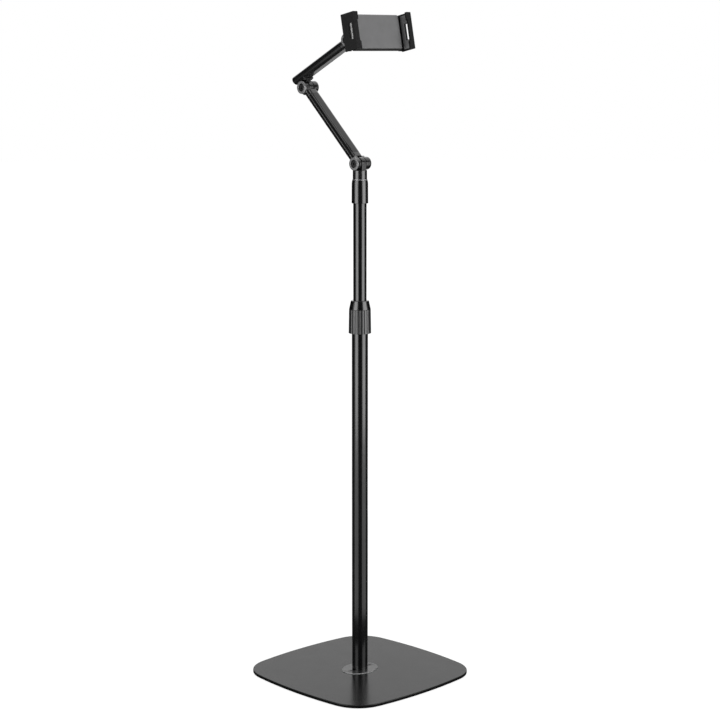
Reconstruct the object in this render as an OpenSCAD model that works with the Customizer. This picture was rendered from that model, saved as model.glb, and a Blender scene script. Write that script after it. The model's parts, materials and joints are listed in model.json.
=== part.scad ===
// Adjustable tablet floor stand: weighted square base, telescoping pole with a twist lock,
// a folding two-part arm and a sprung holder on a ball head. Millimetres, +Z up, front is -Y.
// The origin is on the floor under the pole's axis.

/* [Base] */
// Side of the square base plate, across the middles of its bowed sides
base_side = 285; // [262:1:320]
// Radius of the base plate's corners
base_corner_r = 56; // [40:1:70]
// How far the middle of each side bows outwards
base_bow = 9.8; // [4:0.2:14]
// Thickness of the steel base plate
base_thick = 5; // [4:0.5:8]
// Thickness of the foam pad under the plate
pad_thick = 1.5; // [1:0.5:3]
// Distance from the plate's edge to the pad's edge
pad_inset = 4; // [2:0.5:10]
// Length of the oval flange at the foot of the pole
flange_len = 63; // [56:1:80]
// Width of the oval flange at the foot of the pole
flange_wid = 49; // [44:1:60]
// Thickness of the oval flange
flange_thick = 1; // [0.8:0.1:3]
// Diameter of the bolt that holds the pole to the base
base_bolt_d = 10; // [8:1:12]
// Height of the plug in the foot of the pole
pole_plug_h = 25; // [18:1:40]

/* [Pole] */
// Outer diameter of the lower pole
lower_pole_d = 25; // [25:0.5:28]
// Wall of the lower pole
lower_pole_wall = 1.2; // [1:0.1:1.5]
// Length of the lower pole
lower_pole_len = 568.5; // [480:0.5:640]
// Outer diameter of the upper pole
upper_pole_d = 20.6; // [19:0.1:20.6]
// Wall of the upper pole
upper_pole_wall = 1.2; // [1:0.1:1.5]
// Length of the upper pole
upper_pole_len = 545; // [480:1:600]
// Free length of the upper pole above the twist lock, as set
pole_out = 150.2; // [20:0.2:300]
// Length of the sliding bush at the foot of the upper pole
bush_len = 24; // [16:1:40]

/* [Twist lock] */
// Height of the ribbed grip
grip_h = 37.1; // [34:0.1:45]
// Diameter of the grip at its lower end
grip_d = 35; // [33:0.1:38]
// Diameter of the grip at its upper end
grip_top_d = 33.7; // [32:0.1:36]
// Number of flutes around the grip
grip_flutes = 16; // [10:1:24]
// Depth of each flute
flute_depth = 0.5; // [0.3:0.05:0.6]
// Height of the cone above the grip
cone_h = 13.9; // [12:0.1:20]
// Diameter at the top of the cone
cone_top_d = 27.6; // [26:0.1:30]
// How far the lock reaches down over the lower pole
lock_overlap = 25.8; // [20:0.1:30]
// Wall of the threaded ferrule on the lower pole
ferrule_wall = 1.3; // [1:0.1:1.4]
// Height of the split collet that grips the upper pole
collet_h = 13; // [10:0.5:15]
// Width of the slit in the collet
collet_slit = 1.2; // [0.8:0.1:2]

/* [Swivel] */
// Height of the coupling on the upper pole
coupling_h = 35.5; // [28:0.5:45]
// Diameter of the coupling at its lower end
coupling_d = 25.5; // [24.6:0.1:28]
// Thickness of the coupling's top
coupling_cap = 6; // [5:0.5:8]
// Thickness of the bright ring between the coupling and the neck
ring_thick = 1.4; // [1:0.1:2]
// Diameter of the turning neck
neck_d = 22; // [20.6:0.1:22.6]
// Height from the ring to the first pivot
neck_h = 23.7; // [21:0.1:34]
// Diameter of the bolt that the neck turns on
swivel_bolt_d = 8; // [6:0.5:9]

/* [Arms] */
// Distance between the pivots of the lower arm
lower_arm_len = 164; // [140:1:190]
// Lean of the lower arm backwards from upright, as set
lower_arm_lean = 46.2; // [30:0.2:60]
// Distance from the elbow to the head pivot along the upper arm
upper_arm_len = 122.8; // [110:0.1:150]
// Rise of the upper arm above level, as set
upper_arm_rise = 27; // [10:1:40]
// Offset of the upper arm from the elbow pivot
elbow_offset = 19.2; // [19:0.1:24]
// Length of the upper arm's tail behind the elbow
tail_len = 17; // [16.5:0.5:26]
// Width of the flat oval arm tubes
arm_w = 21.5; // [20.5:0.5:24]
// Thickness of the flat oval arm tubes
arm_t = 13.7; // [11:0.1:14]
// Wall of the arm tubes
arm_wall = 1.6; // [1.2:0.1:2]
// Diameter of the knuckle barrels
barrel_d = 20; // [19:0.1:20.5]
// Length of the knuckle barrels
barrel_len = 28; // [26:0.1:30]
// Extra length of the barrels at their nut's end
barrel_extra = 2.2; // [0:0.1:3]
// Thickness of the disc at the bolt's end of a barrel
barrel_disc_t = 3.2; // [2.5:0.1:4]
// Depth of the waist behind that disc
barrel_waist = 0.9; // [0.4:0.1:1.2]
// Thickness of the tongues between the knuckle cheeks
tongue_t = 8; // [6:0.2:9]
// Thickness of each friction washer
washer_t = 0.8; // [0.5:0.1:1.2]
// Radius of the fillet between a barrel and its arm
fork_fillet = 7; // [4:0.5:9]
// Distance from a pivot to the end of the arm tube
fork_reach = 19; // [17.5:0.5:24]
// Length of the spigot inside the arm tube
spigot_len = 14; // [8:1:20]
// Diameter of the pivot bolts
pivot_d = 6; // [5:0.5:6]
// Depth of the recess for the bolt's head
head_recess = 4.5; // [4.2:0.1:5]
// Diameter of the recess for the bolt's head
head_recess_d = 12.4; // [11.4:0.1:14]
// Width of the pivot nuts across their flats
nut_af = 10; // [9:0.1:10.5]
// Thickness of the pivot nuts
nut_t = 5; // [4:0.1:5]

/* [Ball head] */
// Upward tilt of the holder, as set
head_tilt = 11.5; // [0:0.5:25]
// Diameter of the ball
ball_d = 17; // [14:0.5:17]
// Distance from the head pivot to the ball's centre
ball_dist = 30; // [28:0.5:34]
// Diameter of the ball's stem
stem_d = 9; // [7:0.5:9.5]
// Wall of the ball's seat
seat_wall = 1.5; // [1.2:0.1:2]
// Wall of the socket around the seat
socket_wall = 2; // [1.6:0.1:3]
// Wall of the clamping ring nut
ring_nut_wall = 2.6; // [2:0.1:4]
// Number of flutes around the ring nut
ring_nut_flutes = 12; // [8:1:16]

/* [Holder] */
// Width over the closed jaws
holder_w = 121; // [112:1:140]
// Height of the holder's body
holder_h = 54.2; // [52:0.1:64]
// Height of the jaws
jaw_h = 55.6; // [53:0.1:66]
// Distance from the head pivot to the back of the jaws
holder_back = 45.5; // [45.5:0.5:52]
// Depth of the jaws from back to front
jaw_depth = 26.5; // [24:0.5:34]
// Wall of the jaws
jaw_wall = 3; // [2.4:0.1:4]
// Gap between the holder's end and each closed jaw
jaw_gap = 10; // [9:0.1:12]
// Reach of the hooks at the front of each jaw
lip_reach = 10; // [7:0.1:11]
// Thickness of the hooks
lip_thick = 3; // [2.4:0.1:4]
// Height of each hook
hook_h = 13; // [9:0.5:15]
// How far the jaw's edge sits back between its hooks
lip_recess = 2.2; // [1:0.1:3]
// Reach of the flange at the back of each jaw
jaw_back_reach = 10.5; // [8:0.1:12]
// Height of the slot in each jaw
jaw_slot_h = 24; // [14:0.5:28]
// Width of the slot in each jaw
jaw_slot_w = 8; // [6:0.5:9]
// Travel of each jaw
jaw_travel = 42; // [30:1:44]
// Thickness of the jaw's rubber lining
jaw_pad_t = 0.8; // [0.5:0.1:1.5]
// Depth of the rear housing
housing_d = 6; // [6:0.1:7]
// Depth of the front cover
cover_d = 5; // [4.5:0.1:6]
// Wall of the housing
housing_wall = 2; // [1.6:0.1:2]
// Radius of the holder's long edges
edge_r = 4; // [2:0.5:4.5]
// Thickness of the front pad
front_pad_t = 1; // [0.6:0.1:1.2]
// Margin between the front pad and the cover's long edges
front_pad_margin = 2.6; // [2:0.1:5]
// Thickness of the sliders
slider_t = 3.2; // [2.4:0.1:3.2]
// Height of each slider
slider_h = 13; // [10:0.5:13]

/* [Jaw springs] */
// Mean diameter of each jaw spring
spring_d = 3.4; // [3:0.1:3.6]
// Diameter of the spring wire
spring_wire = 0.6; // [0.4:0.1:0.6]
// Number of turns
spring_turns = 16; // [10:1:18]

/* [Fits] */
// Radial play of a running fit
run_gap = 0.05; // [0.02:0.01:0.1]
// Radial play of a bonded or threaded fit
bond_gap = 0.1; // [0.05:0.01:0.15]
// Clear space between pieces that pass each other
pass_gap = 0.3; // [0.2:0.05:0.4]

/* [Hidden] */
$fn = 64;
hex_width = 0.7;                // hex socket's radius over the radius of its bolt
hex_floor = 0.4;                // part of a bolt's head left under its socket
over = 1;                       // how far a cut runs past the face that it opens

// Heights up the pole
plate_z = pad_thick;
floor_top = plate_z + base_thick;
pole_top = floor_top + lower_pole_len;
lock_z = pole_top - lock_overlap;
cone_z = lock_z + grip_h;
lock_top = cone_z + cone_h;
coupling_z = lock_top + pole_out;
coupling_top = coupling_z + coupling_h;
upper_top = coupling_top - coupling_cap;
upper_z = upper_top - upper_pole_len;
neck_z = coupling_top + ring_thick;
pivot_z = neck_z + neck_h;

// Pole and lock radii
lower_r = lower_pole_d / 2;
lower_bore_r = lower_r - lower_pole_wall;
upper_r = upper_pole_d / 2;
upper_bore_r = upper_r - upper_pole_wall;
ferrule_bore_r = lower_r + bond_gap;
ferrule_r = ferrule_bore_r + ferrule_wall;
ferrule_ledge = 2;
ferrule_top = pole_top + ferrule_ledge;
ferrule_foot_gap = 2;
nut_thread_r = ferrule_r + pass_gap;
grip_skin = 0.5;                // rubber left under a flute
grip_bore_r = min(grip_d, grip_top_d) / 2 - flute_depth - grip_skin;
nut_body_r = grip_bore_r - bond_gap / 2;
collet_r = upper_r + run_gap;
collet_foot_r = lower_r - bond_gap;
collet_nose_t = 1.5;
collet_nose_r = collet_r + collet_nose_t;
collet_top = ferrule_top + collet_h;
flute_r = 2.2;

// Base bolt: a countersunk head under the plate
base_bolt_r = base_bolt_d / 2;
base_head_ratio = 0.95;         // head radius over bolt diameter
base_head_r = base_bolt_d * base_head_ratio;
base_head_h = base_head_r - base_bolt_r;
base_bolt_end = 5;              // plug left above the bolt's end
base_bolt_reach = pole_plug_h - base_bolt_end;

// Swivel
swivel_r = swivel_bolt_d / 2;
swivel_head_ratio = 0.8;        // head radius over bolt diameter
swivel_head_room = 1.5;         // least space around the head in the pole
swivel_head_r = min(swivel_bolt_d * swivel_head_ratio, upper_bore_r - swivel_head_room);
swivel_head_h = 5;
swivel_spring_t = 1;
swivel_reach = neck_h / 2;
coupling_r = coupling_d / 2;
coupling_nose = 5.5;
coupling_draft = 0.2;
coupling_taper = 0.8;
ring_inset = 0.4;               // step from the coupling's top in to the bright ring
neck_r = neck_d / 2;
shoulder_drop = 3;              // how far the neck's shoulders lie below a level arm

// Knuckles
barrel_r = barrel_d / 2;
half_barrel = barrel_len / 2;
barrel_rear = half_barrel + barrel_extra;
slot_half = tongue_t / 2 + washer_t;
slot_room = 2;                  // space around a tongue in its slot
slot_r = barrel_r + slot_room;
saddle_r = barrel_r + pass_gap;
pivot_r = pivot_d / 2;
head_seat = half_barrel - head_recess;
head_h = 3.6;
head_room = 1.1;                // space around the bolt's head in its recess
head_r = head_recess_d / 2 - head_room;
socket_af = 4;
socket_depth = 2.2;
nut_sink = 0.5;                 // how far the nut lies below the barrel's end
nut_seat = barrel_rear - nut_t - nut_sink;
bolt_end_gap = 0.4;             // how far the bolt stops short of the nut's face
washer_inset = 1;
washer_r = barrel_r - washer_inset;
barrel_front_edge = 0.7;
barrel_rear_edge = 2.4;
web_sink = 0.9;                 // part of the barrel's radius at which the web ends inside it
spigot_w = arm_w - 2 * (arm_wall + bond_gap);
spigot_t = arm_t - 2 * (arm_wall + bond_gap);
fork_web_z = sqrt(pow(barrel_r + fork_fillet, 2) - pow(arm_t / 2 + fork_fillet, 2));

// Places of the pivots in the plane of the arms, as [y, z]
base_pivot = [0, pivot_z];
elbow = base_pivot + lower_arm_len * [sin(lower_arm_lean), cos(lower_arm_lean)];
arm_front = [-cos(upper_arm_rise), sin(upper_arm_rise)];
arm_up = [sin(upper_arm_rise), cos(upper_arm_rise)];
head_pivot = elbow + upper_arm_len * arm_front + elbow_offset * arm_up;

// Elbow bracket
bracket_foot_t = 1.6;
bracket_foot_len = 19;
bracket_foot_inset = 1;
bracket_foot_w = arm_w - 2 * bracket_foot_inset;
bracket_saddle_h = 2.2;         // rise of the foot around the arm's round sides
bracket_waist = 7;
bracket_top = 8.5;
rivet_r = 1.6;
rivet_head_r = 2.4;
rivet_head_h = 1.1;
rivet_head_taper = 0.7;
rivet_x = 7;
rivet_inset = 3.2;
rivet_y = bracket_foot_len / 2 - rivet_inset;
bracket_face = elbow_offset - arm_t / 2;
bracket_foot = bracket_face - bracket_foot_t;
cap_t = 2;
cap_edge = 0.6;
cap_plug_len = 4;

// Ball head: distances are measured forwards from the head pivot
ball_r = ball_d / 2;
stem_r = stem_d / 2;
knuckle_inset = 1;
knuckle_reach = slot_r + 2 * knuckle_inset;
seat_bore_r = ball_r + run_gap;
seat_r = seat_bore_r + seat_wall;
seat_grip = 0.42;               // part of the ball's radius that the seat reaches behind its centre
seat_back = ball_dist - ball_r * seat_grip;
seat_front = ball_dist + seat_bore_r + seat_wall;
socket_bore_r = seat_r + run_gap;
socket_r = socket_bore_r + socket_wall;
socket_inset = 0.5;
socket_back = seat_back + socket_inset;
ring_nut_bore_r = socket_r + run_gap;
ring_nut_r = ring_nut_bore_r + ring_nut_wall;
ring_nut_rim_t = 2.05;
ring_nut_rim = seat_back - 3 * run_gap;
ring_nut_back = ring_nut_rim - ring_nut_rim_t;
ring_nut_room = 9;              // space from the ring nut to the holder's back
ring_nut_front = holder_back - ring_nut_room;
ring_nut_mouth_r = sqrt(ball_r * ball_r - pow(ball_dist - seat_back, 2)) + pass_gap;

// Holder: distances forwards from the head pivot, with x across and z up its face
housing_inset = 0.5;            // step from the jaws' backs in to the housing's back
housing_back = holder_back + housing_inset;
joint_face = housing_back + housing_d;
cover_face = joint_face + cover_d;
jaw_front = holder_back + jaw_depth;
lip_back = jaw_front - lip_thick;
body_half = holder_w / 2 - jaw_wall - jaw_gap;
half_h = holder_h / 2;
jaw_half_h = jaw_h / 2;
jaw_inner = holder_w / 2 - jaw_wall;
cavity_back = housing_back + housing_wall;
cavity_margin = 0.5;
cavity_half_h = half_h - edge_r - cavity_margin;
cavity_half_w = body_half - housing_wall;
slider_back = cavity_back + (joint_face - cavity_back - slider_t) / 2;
slider_front = slider_back + slider_t;
lane_gap = 1.5;
slider_end = body_half - jaw_travel / 3;
tab_len = 2;
spring_room = 0.4;
spring_r = (spring_d + spring_wire) / 2;
spring_z = lane_gap + slider_h + spring_r + spring_room;
spring_mid = (cavity_back + joint_face) / 2;
tab_top = spring_z + spring_r;
spring_spare = 3;               // length left before the turns close up
spring_solid = spring_turns * spring_wire + spring_spare;
rib_x = slider_end - tab_len - jaw_travel - spring_solid;
spring_len = slider_end - tab_len - rib_x;
rib_t = 2;
screw_r = 1.5;
screw_head_r = 2.7;
screw_head_h = 1.5;
screw_sink = 0.1;
boss_r = 2.4;
boss_end_gap = 1;
boss_side_sink = 0.8;
screw_x = cavity_half_w - boss_r - boss_end_gap;
screw_z = cavity_half_h - boss_r + boss_side_sink;
screw_end = 1;                  // cover left in front of each screw's end
screw_reach = cover_face - front_pad_t - screw_end;
screw_shank_sink = 0.2;
screw_seat = housing_back + screw_sink + screw_head_h;
pad_end_margin = 1;
pad_half_w = body_half - pad_end_margin;
pad_half_h = half_h - front_pad_margin;
slot_inset = 2;                 // wall between the slot and the hooks' backs
slot_front = lip_back - slot_inset;
slot_back = slot_front - jaw_slot_w;
jaw_corner_r = 2;
jaw_back_room = 0.5;            // least space between the jaws' back flanges and the housing's ends
jaw_back_in = max(holder_w / 2 - jaw_back_reach, body_half + jaw_back_room);
jaw_edge_ratio = 0.3;           // edge radius over wall of the jaws
lining_gap = 0.2;
lining_margin = 0.5;            // bare jaw around the slot

black = [0.07, 0.07, 0.075];
dark = [0.13, 0.13, 0.135];
silver = [0.62, 0.63, 0.64];
grey = [0.42, 0.42, 0.43];
steel = [0.7, 0.7, 0.71];

function arc_pts(c, r, from, to, n) =
    [for (i = [0:n]) c + r * [cos(from + (to - from) * i / n), sin(from + (to - from) * i / n)]];

function rounded_rect(w, h, r, n = 5) = concat(
    arc_pts([w / 2 - r, h / 2 - r], r, 0, 90, n),
    arc_pts([r - w / 2, h / 2 - r], r, 90, 180, n),
    arc_pts([r - w / 2, r - h / 2], r, 180, 270, n),
    arc_pts([w / 2 - r, r - h / 2], r, 270, 360, n));

function flat_oval(w, t, n = 12) = concat(
    arc_pts([(w - t) / 2, 0], t / 2, -90, 90, n),
    arc_pts([(t - w) / 2, 0], t / 2, 90, 270, n));

function ellipse(l, w, n = 72) =
    [for (i = [0:n - 1]) [l / 2 * cos(360 * i / n), w / 2 * sin(360 * i / n)]];

// Square with bowed sides: each side is an arc, and a corner arc joins it to the next one
function bowed_square(half, r, bow) =
    let (
        chord = half - r / 2,
        side_r = (chord * chord + bow * bow) / (2 * bow),
        side_c = half - side_r,
        corner_c = (side_c + sqrt(2 * pow(side_r - r, 2) - side_c * side_c)) / 2,
        turn = atan2(corner_c, corner_c - side_c),
        side = arc_pts([0, side_c], side_r, 90 + turn, 90 - turn, 12),
        corner = arc_pts([corner_c, corner_c], r, 90 - turn, turn, 9),
        quarter = concat([for (i = [1:11]) side[i]], corner)
    )
    [for (q = [0:3]) for (p = quarter)
        [p[0] * cos(90 * q) + p[1] * sin(90 * q), p[1] * cos(90 * q) - p[0] * sin(90 * q)]];

// Solid drawn in the plane of the arms, as [y, z], and centred across it
module across(width) {
    rotate([90, 0, 90])
        linear_extrude(width, center = true)
            children();
}

module rod_x(r, from, to) {
    translate([from, 0, 0])
        rotate([0, 90, 0])
            cylinder(r = r, h = to - from);
}

// Rod that points forwards, with its ends given as distances in front of the origin
module rod_front(r, from, to) {
    translate([0, -from, 0])
        rotate([90, 0, 0])
            cylinder(r = r, h = to - from);
}

// Prism that points forwards, drawn as [x, z]
module slab_front(from, to) {
    translate([0, -from, 0])
        rotate([90, 0, 0])
            linear_extrude(to - from)
                children();
}

// Block given by its corners
module block(low, high) {
    translate(low)
        cube(high - low);
}

// Block in front of the head pivot, with its depths as distances forwards
module front_block(x, depth, z) {
    block([x[0], -depth[1], z[0]], [x[1], -depth[0], z[1]]);
}

module ring(outer, inner, z0, z1) {
    translate([0, 0, z0])
        difference() {
            cylinder(r = outer, h = z1 - z0);
            translate([0, 0, -over])
                cylinder(r = inner, h = z1 - z0 + 2 * over);
        }
}

module at_pivot(p) {
    translate([0, p[0], p[1]])
        children();
}

module at_base_pivot() {
    at_pivot(base_pivot)
        rotate([-lower_arm_lean, 0, 0])
            children();
}

module at_elbow_end() {
    at_pivot(elbow)
        rotate([180 - lower_arm_lean, 0, 0])
            children();
}

module at_upper_arm() {
    at_pivot(elbow)
        rotate([-upper_arm_rise, 0, 0])
            children();
}

module at_head_end() {
    at_pivot(head_pivot)
        rotate([-90 - upper_arm_rise, 0, 0])
            children();
}

module at_head() {
    at_pivot(head_pivot)
        rotate([-head_tilt, 0, 0])
            children();
}

// Base and pole foot

module base_pad() {
    color(black)
        linear_extrude(pad_thick)
            polygon(bowed_square(base_side / 2 - pad_inset, base_corner_r - pad_inset, base_bow));
}

module base_plate() {
    color(dark)
        translate([0, 0, plate_z])
            difference() {
                linear_extrude(base_thick)
                    polygon(bowed_square(base_side / 2, base_corner_r, base_bow));
                translate([0, 0, -over])
                    cylinder(r = base_bolt_r + bond_gap, h = base_thick + 2 * over);
                base_countersink(bond_gap);
            }
}

// Cone of the countersunk head, with its wide end on the plate's underside
module base_countersink(gap) {
    cylinder(r1 = base_head_r + gap, r2 = base_bolt_r + gap, h = base_head_h);
    if (gap > 0)
        translate([0, 0, -over])
            cylinder(r = base_head_r + gap, h = over);
}

module base_bolt() {
    color(steel)
        translate([0, 0, plate_z])
            difference() {
                union() {
                    base_countersink(0);
                    cylinder(r = base_bolt_r, h = base_thick + base_bolt_reach);
                }
                translate([0, 0, -over])
                    cylinder(
                        r = base_bolt_r * hex_width,
                        h = base_head_h * (1 - hex_floor) + over,
                        $fn = 6);
            }
}

module pole_plug() {
    color(steel)
        translate([0, 0, floor_top])
            difference() {
                cylinder(r = lower_bore_r - bond_gap, h = pole_plug_h);
                translate([0, 0, -over])
                    cylinder(r = base_bolt_r + bond_gap, h = pole_plug_h + 2 * over);
            }
}

module pole_flange() {
    rim = 0.5;
    color(dark)
        difference() {
            union() {
                translate([0, 0, floor_top])
                    linear_extrude(flange_thick - rim)
                        polygon(ellipse(flange_len, flange_wid));
                translate([0, 0, floor_top + flange_thick - rim])
                    linear_extrude(rim)
                        polygon(ellipse(flange_len - 2 * rim, flange_wid - 2 * rim));
            }
            translate([0, 0, floor_top - over])
                cylinder(r = lower_r + bond_gap, h = flange_thick + 2 * over);
        }
}

module lower_pole() {
    color(black)
        ring(lower_r, lower_bore_r, floor_top, pole_top);
}

// Twist lock

module lock_ferrule() {
    color(dark) {
        difference() {
            ring(ferrule_r, upper_r + pass_gap, lock_z + ferrule_foot_gap, ferrule_top);
            translate([0, 0, lock_z])
                cylinder(r = ferrule_bore_r, h = lock_overlap);
        }
    }
}

module lock_collet() {
    color(silver)
        translate([0, 0, ferrule_top])
            difference() {
                cylinder(r1 = collet_foot_r, r2 = collet_nose_r, h = collet_h);
                translate([0, 0, -over])
                    cylinder(r = collet_r, h = collet_h + 2 * over);
                block(
                    [0, -collet_slit / 2, -over],
                    [collet_foot_r + over, collet_slit / 2, collet_h + over]);
            }
}

module lock_nut() {
    roof = collet_top + pass_gap;
    color(black)
        difference() {
            union() {
                translate([0, 0, lock_z])
                    cylinder(r = nut_body_r, h = grip_h);
                translate([0, 0, cone_z])
                    cylinder(r1 = grip_top_d / 2, r2 = cone_top_d / 2, h = cone_h);
            }
            translate([0, 0, lock_z - over])
                cylinder(r = nut_thread_r, h = ferrule_top + pass_gap - lock_z + over);
            translate([0, 0, ferrule_top])
                cylinder(
                    r1 = collet_foot_r + pass_gap,
                    r2 = collet_nose_r + pass_gap,
                    h = roof - ferrule_top);
            translate([0, 0, roof - over])
                cylinder(r = upper_r + pass_gap, h = lock_top - roof + 2 * over);
        }
}

module lock_grip() {
    lean = atan2((grip_d - grip_top_d) / 2, grip_h);
    color(dark)
        difference() {
            translate([0, 0, lock_z])
                cylinder(d1 = grip_d, d2 = grip_top_d, h = grip_h);
            translate([0, 0, lock_z - over])
                cylinder(r = grip_bore_r, h = grip_h + 2 * over);
            for (i = [0:grip_flutes - 1])
                rotate([0, 0, 360 * i / grip_flutes])
                    translate([grip_d / 2 + flute_r - flute_depth, 0, lock_z])
                        rotate([0, -lean, 0])
                            translate([0, 0, -2 * over])
                                cylinder(r = flute_r, h = grip_h + 4 * over);
        }
}

// Upper pole

module upper_pole() {
    color(black)
        ring(upper_r, upper_bore_r, upper_z, upper_top);
}

module upper_pole_bush() {
    sole = 2;
    color(silver)
        translate([0, 0, upper_z - sole])
            difference() {
                cylinder(r = lower_bore_r - run_gap, h = bush_len);
                translate([0, 0, sole])
                    cylinder(r = upper_r + bond_gap, h = bush_len);
            }
}

module top_coupling() {
    nose_z = coupling_top - coupling_nose;
    color(black)
        difference() {
            rotate_extrude()
                polygon([
                    [0, coupling_z],
                    [coupling_r, coupling_z],
                    [coupling_r - coupling_draft, nose_z],
                    [coupling_r - coupling_taper, coupling_top],
                    [0, coupling_top]
                ]);
            translate([0, 0, coupling_z - over])
                cylinder(r = upper_r + bond_gap, h = upper_top - coupling_z + over);
            translate([0, 0, upper_top - over])
                cylinder(r = swivel_r + run_gap, h = coupling_cap + 2 * over);
        }
}

// Turning neck

module swivel_ring() {
    color(silver)
        ring(coupling_r - coupling_taper - ring_inset, swivel_r + bond_gap, coupling_top, neck_z);
}

module swivel_bolt() {
    head_top = upper_top - swivel_spring_t;
    color(steel)
        difference() {
            union() {
                translate([0, 0, head_top - swivel_head_h])
                    cylinder(r = swivel_head_r, h = swivel_head_h);
                translate([0, 0, head_top])
                    cylinder(r = swivel_r, h = neck_z + swivel_reach - head_top);
            }
            translate([0, 0, head_top - swivel_head_h - over])
                cylinder(r = swivel_r * hex_width, h = swivel_head_h * (1 - hex_floor) + over, $fn = 6);
        }
}

module swivel_spring_washer() {
    color(steel)
        ring(swivel_head_r, swivel_r + bond_gap, upper_top - swivel_spring_t, upper_top);
}

module swivel_neck() {
    shoulder = pivot_z - arm_t / 2 - shoulder_drop;
    color(black)
        difference() {
            union() {
                difference() {
                    translate([0, 0, neck_z])
                        cylinder(r = neck_r, h = shoulder - neck_z);
                    at_pivot(base_pivot)
                        rod_x(saddle_r, -neck_r - over, neck_r + over);
                }
                intersection() {
                    union() {
                        at_pivot(base_pivot)
                            rod_x(barrel_r, -tongue_t / 2, tongue_t / 2);
                        translate([0, 0, neck_z])
                            cylinder(r = neck_r, h = neck_h);
                    }
                    block(
                        [-tongue_t / 2, -barrel_r, neck_z],
                        [tongue_t / 2, barrel_r, pivot_z + barrel_r + over]);
                }
            }
            at_pivot(base_pivot)
                rod_x(pivot_r + run_gap, -neck_r, neck_r);
            translate([0, 0, neck_z - over])
                cylinder(r = swivel_r + bond_gap, h = swivel_reach + bond_gap + over);
        }
}

// Knuckle pieces: each is drawn with its pivot along X and its arm along +Z

module barrel() {
    rear_edge = [barrel_r - barrel_rear_edge, barrel_rear - barrel_rear_edge];
    waist_r = barrel_r - barrel_waist;
    disc_back = barrel_disc_t - half_barrel;
    rotate([0, 90, 0])
        rotate_extrude()
            polygon(concat(
                [[0, -half_barrel], [barrel_r - barrel_front_edge, -half_barrel]],
                [[barrel_r, barrel_front_edge - half_barrel], [barrel_r, disc_back]],
                [[waist_r, disc_back + barrel_waist], [waist_r, -slot_half], [barrel_r, slot_half]],
                arc_pts(rear_edge, barrel_rear_edge, 0, 90, 5),
                [[0, barrel_rear]]));
}

// Outline of the web that runs from the barrel into the arm, as [y, z]
function fork_web() =
    let (
        centre = [arm_t / 2 + fork_fillet, fork_web_z],
        sweep = atan2(centre[1], centre[0]),
        fillet = arc_pts(centre, fork_fillet, 180, 180 + sweep, 7),
        side = concat(fillet, [web_sink * barrel_r * centre / norm(centre)])
    )
    concat(side, [[0, 0]], [for (i = [len(side) - 1:-1:0]) [-side[i][0], side[i][1]]]);

module fork() {
    color(black)
        difference() {
            union() {
                barrel();
                across(arm_w)
                    polygon(fork_web());
                translate([0, 0, fork_web_z - over])
                    linear_extrude(fork_reach - fork_web_z + over)
                        polygon(flat_oval(arm_w, arm_t));
                translate([0, 0, fork_reach - over])
                    linear_extrude(spigot_len + over)
                        polygon(flat_oval(spigot_w, spigot_t));
            }
            rod_x(slot_r, -slot_half, slot_half);
            rod_x(pivot_r + bond_gap, -half_barrel - over, barrel_rear + over);
            rod_x(head_recess_d / 2, -half_barrel - over, -head_seat);
            translate([nut_seat, 0, 0])
                rotate([0, 90, 0])
                    cylinder(d = (nut_af + 2 * bond_gap) / cos(30), h = nut_t + nut_sink + over, $fn = 6);
        }
}

module pivot_bolt() {
    color(steel)
        difference() {
            union() {
                rod_x(head_r, -head_seat - head_h, -head_seat);
                rod_x(pivot_r, -head_seat, nut_seat + nut_t - bolt_end_gap);
            }
            translate([-head_seat - head_h - over, 0, 0])
                rotate([0, 90, 0])
                    cylinder(d = socket_af / cos(30), h = socket_depth + over, $fn = 6);
        }
}

module pivot_nut() {
    color(steel)
        translate([nut_seat, 0, 0])
            rotate([0, 90, 0])
                difference() {
                    cylinder(d = nut_af / cos(30), h = nut_t, $fn = 6);
                    translate([0, 0, -over])
                        cylinder(r = pivot_r + bond_gap, h = nut_t + 2 * over);
                }
}

module pivot_washers() {
    color(black)
        for (side = [-1, 1])
            translate([side * (tongue_t + washer_t) / 2, 0, 0])
                difference() {
                    rod_x(washer_r, -washer_t / 2, washer_t / 2);
                    rod_x(pivot_r + bond_gap, -washer_t, washer_t);
                }
}

// Flat oval tube along +Z
module arm_tube(from, to) {
    color(black)
        translate([0, 0, from])
            linear_extrude(to - from)
                difference() {
                    polygon(flat_oval(arm_w, arm_t));
                    polygon(flat_oval(arm_w - 2 * arm_wall, arm_t - 2 * arm_wall));
                }
}

// Lower arm

module lower_arm_tube() {
    at_base_pivot()
        arm_tube(fork_reach, lower_arm_len - fork_reach);
}

module base_pivot_fork() {
    at_base_pivot()
        fork();
}

module elbow_fork() {
    at_elbow_end()
        fork();
}

module base_pivot_bolt() {
    at_base_pivot()
        pivot_bolt();
}

module base_pivot_nut() {
    at_base_pivot()
        pivot_nut();
}

module base_pivot_washers() {
    at_base_pivot()
        pivot_washers();
}

module elbow_pivot_bolt() {
    at_elbow_end()
        pivot_bolt();
}

module elbow_pivot_nut() {
    at_elbow_end()
        pivot_nut();
}

module elbow_pivot_washers() {
    at_elbow_end()
        pivot_washers();
}

// Upper arm, drawn with the elbow at the origin, its front along -Y and the tube above

module rivet_holes(gap) {
    for (x = [-rivet_x, rivet_x])
        for (y = [-rivet_y, rivet_y])
            translate([x, y, elbow_offset - arm_t])
                cylinder(r = rivet_r + gap, h = arm_t);
}

module upper_arm_tube() {
    at_upper_arm()
        difference() {
            translate([0, 0, elbow_offset])
                rotate([90, 0, 0])
                    arm_tube(cap_t - tail_len, upper_arm_len - fork_reach);
            rivet_holes(bond_gap);
        }
}

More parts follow.
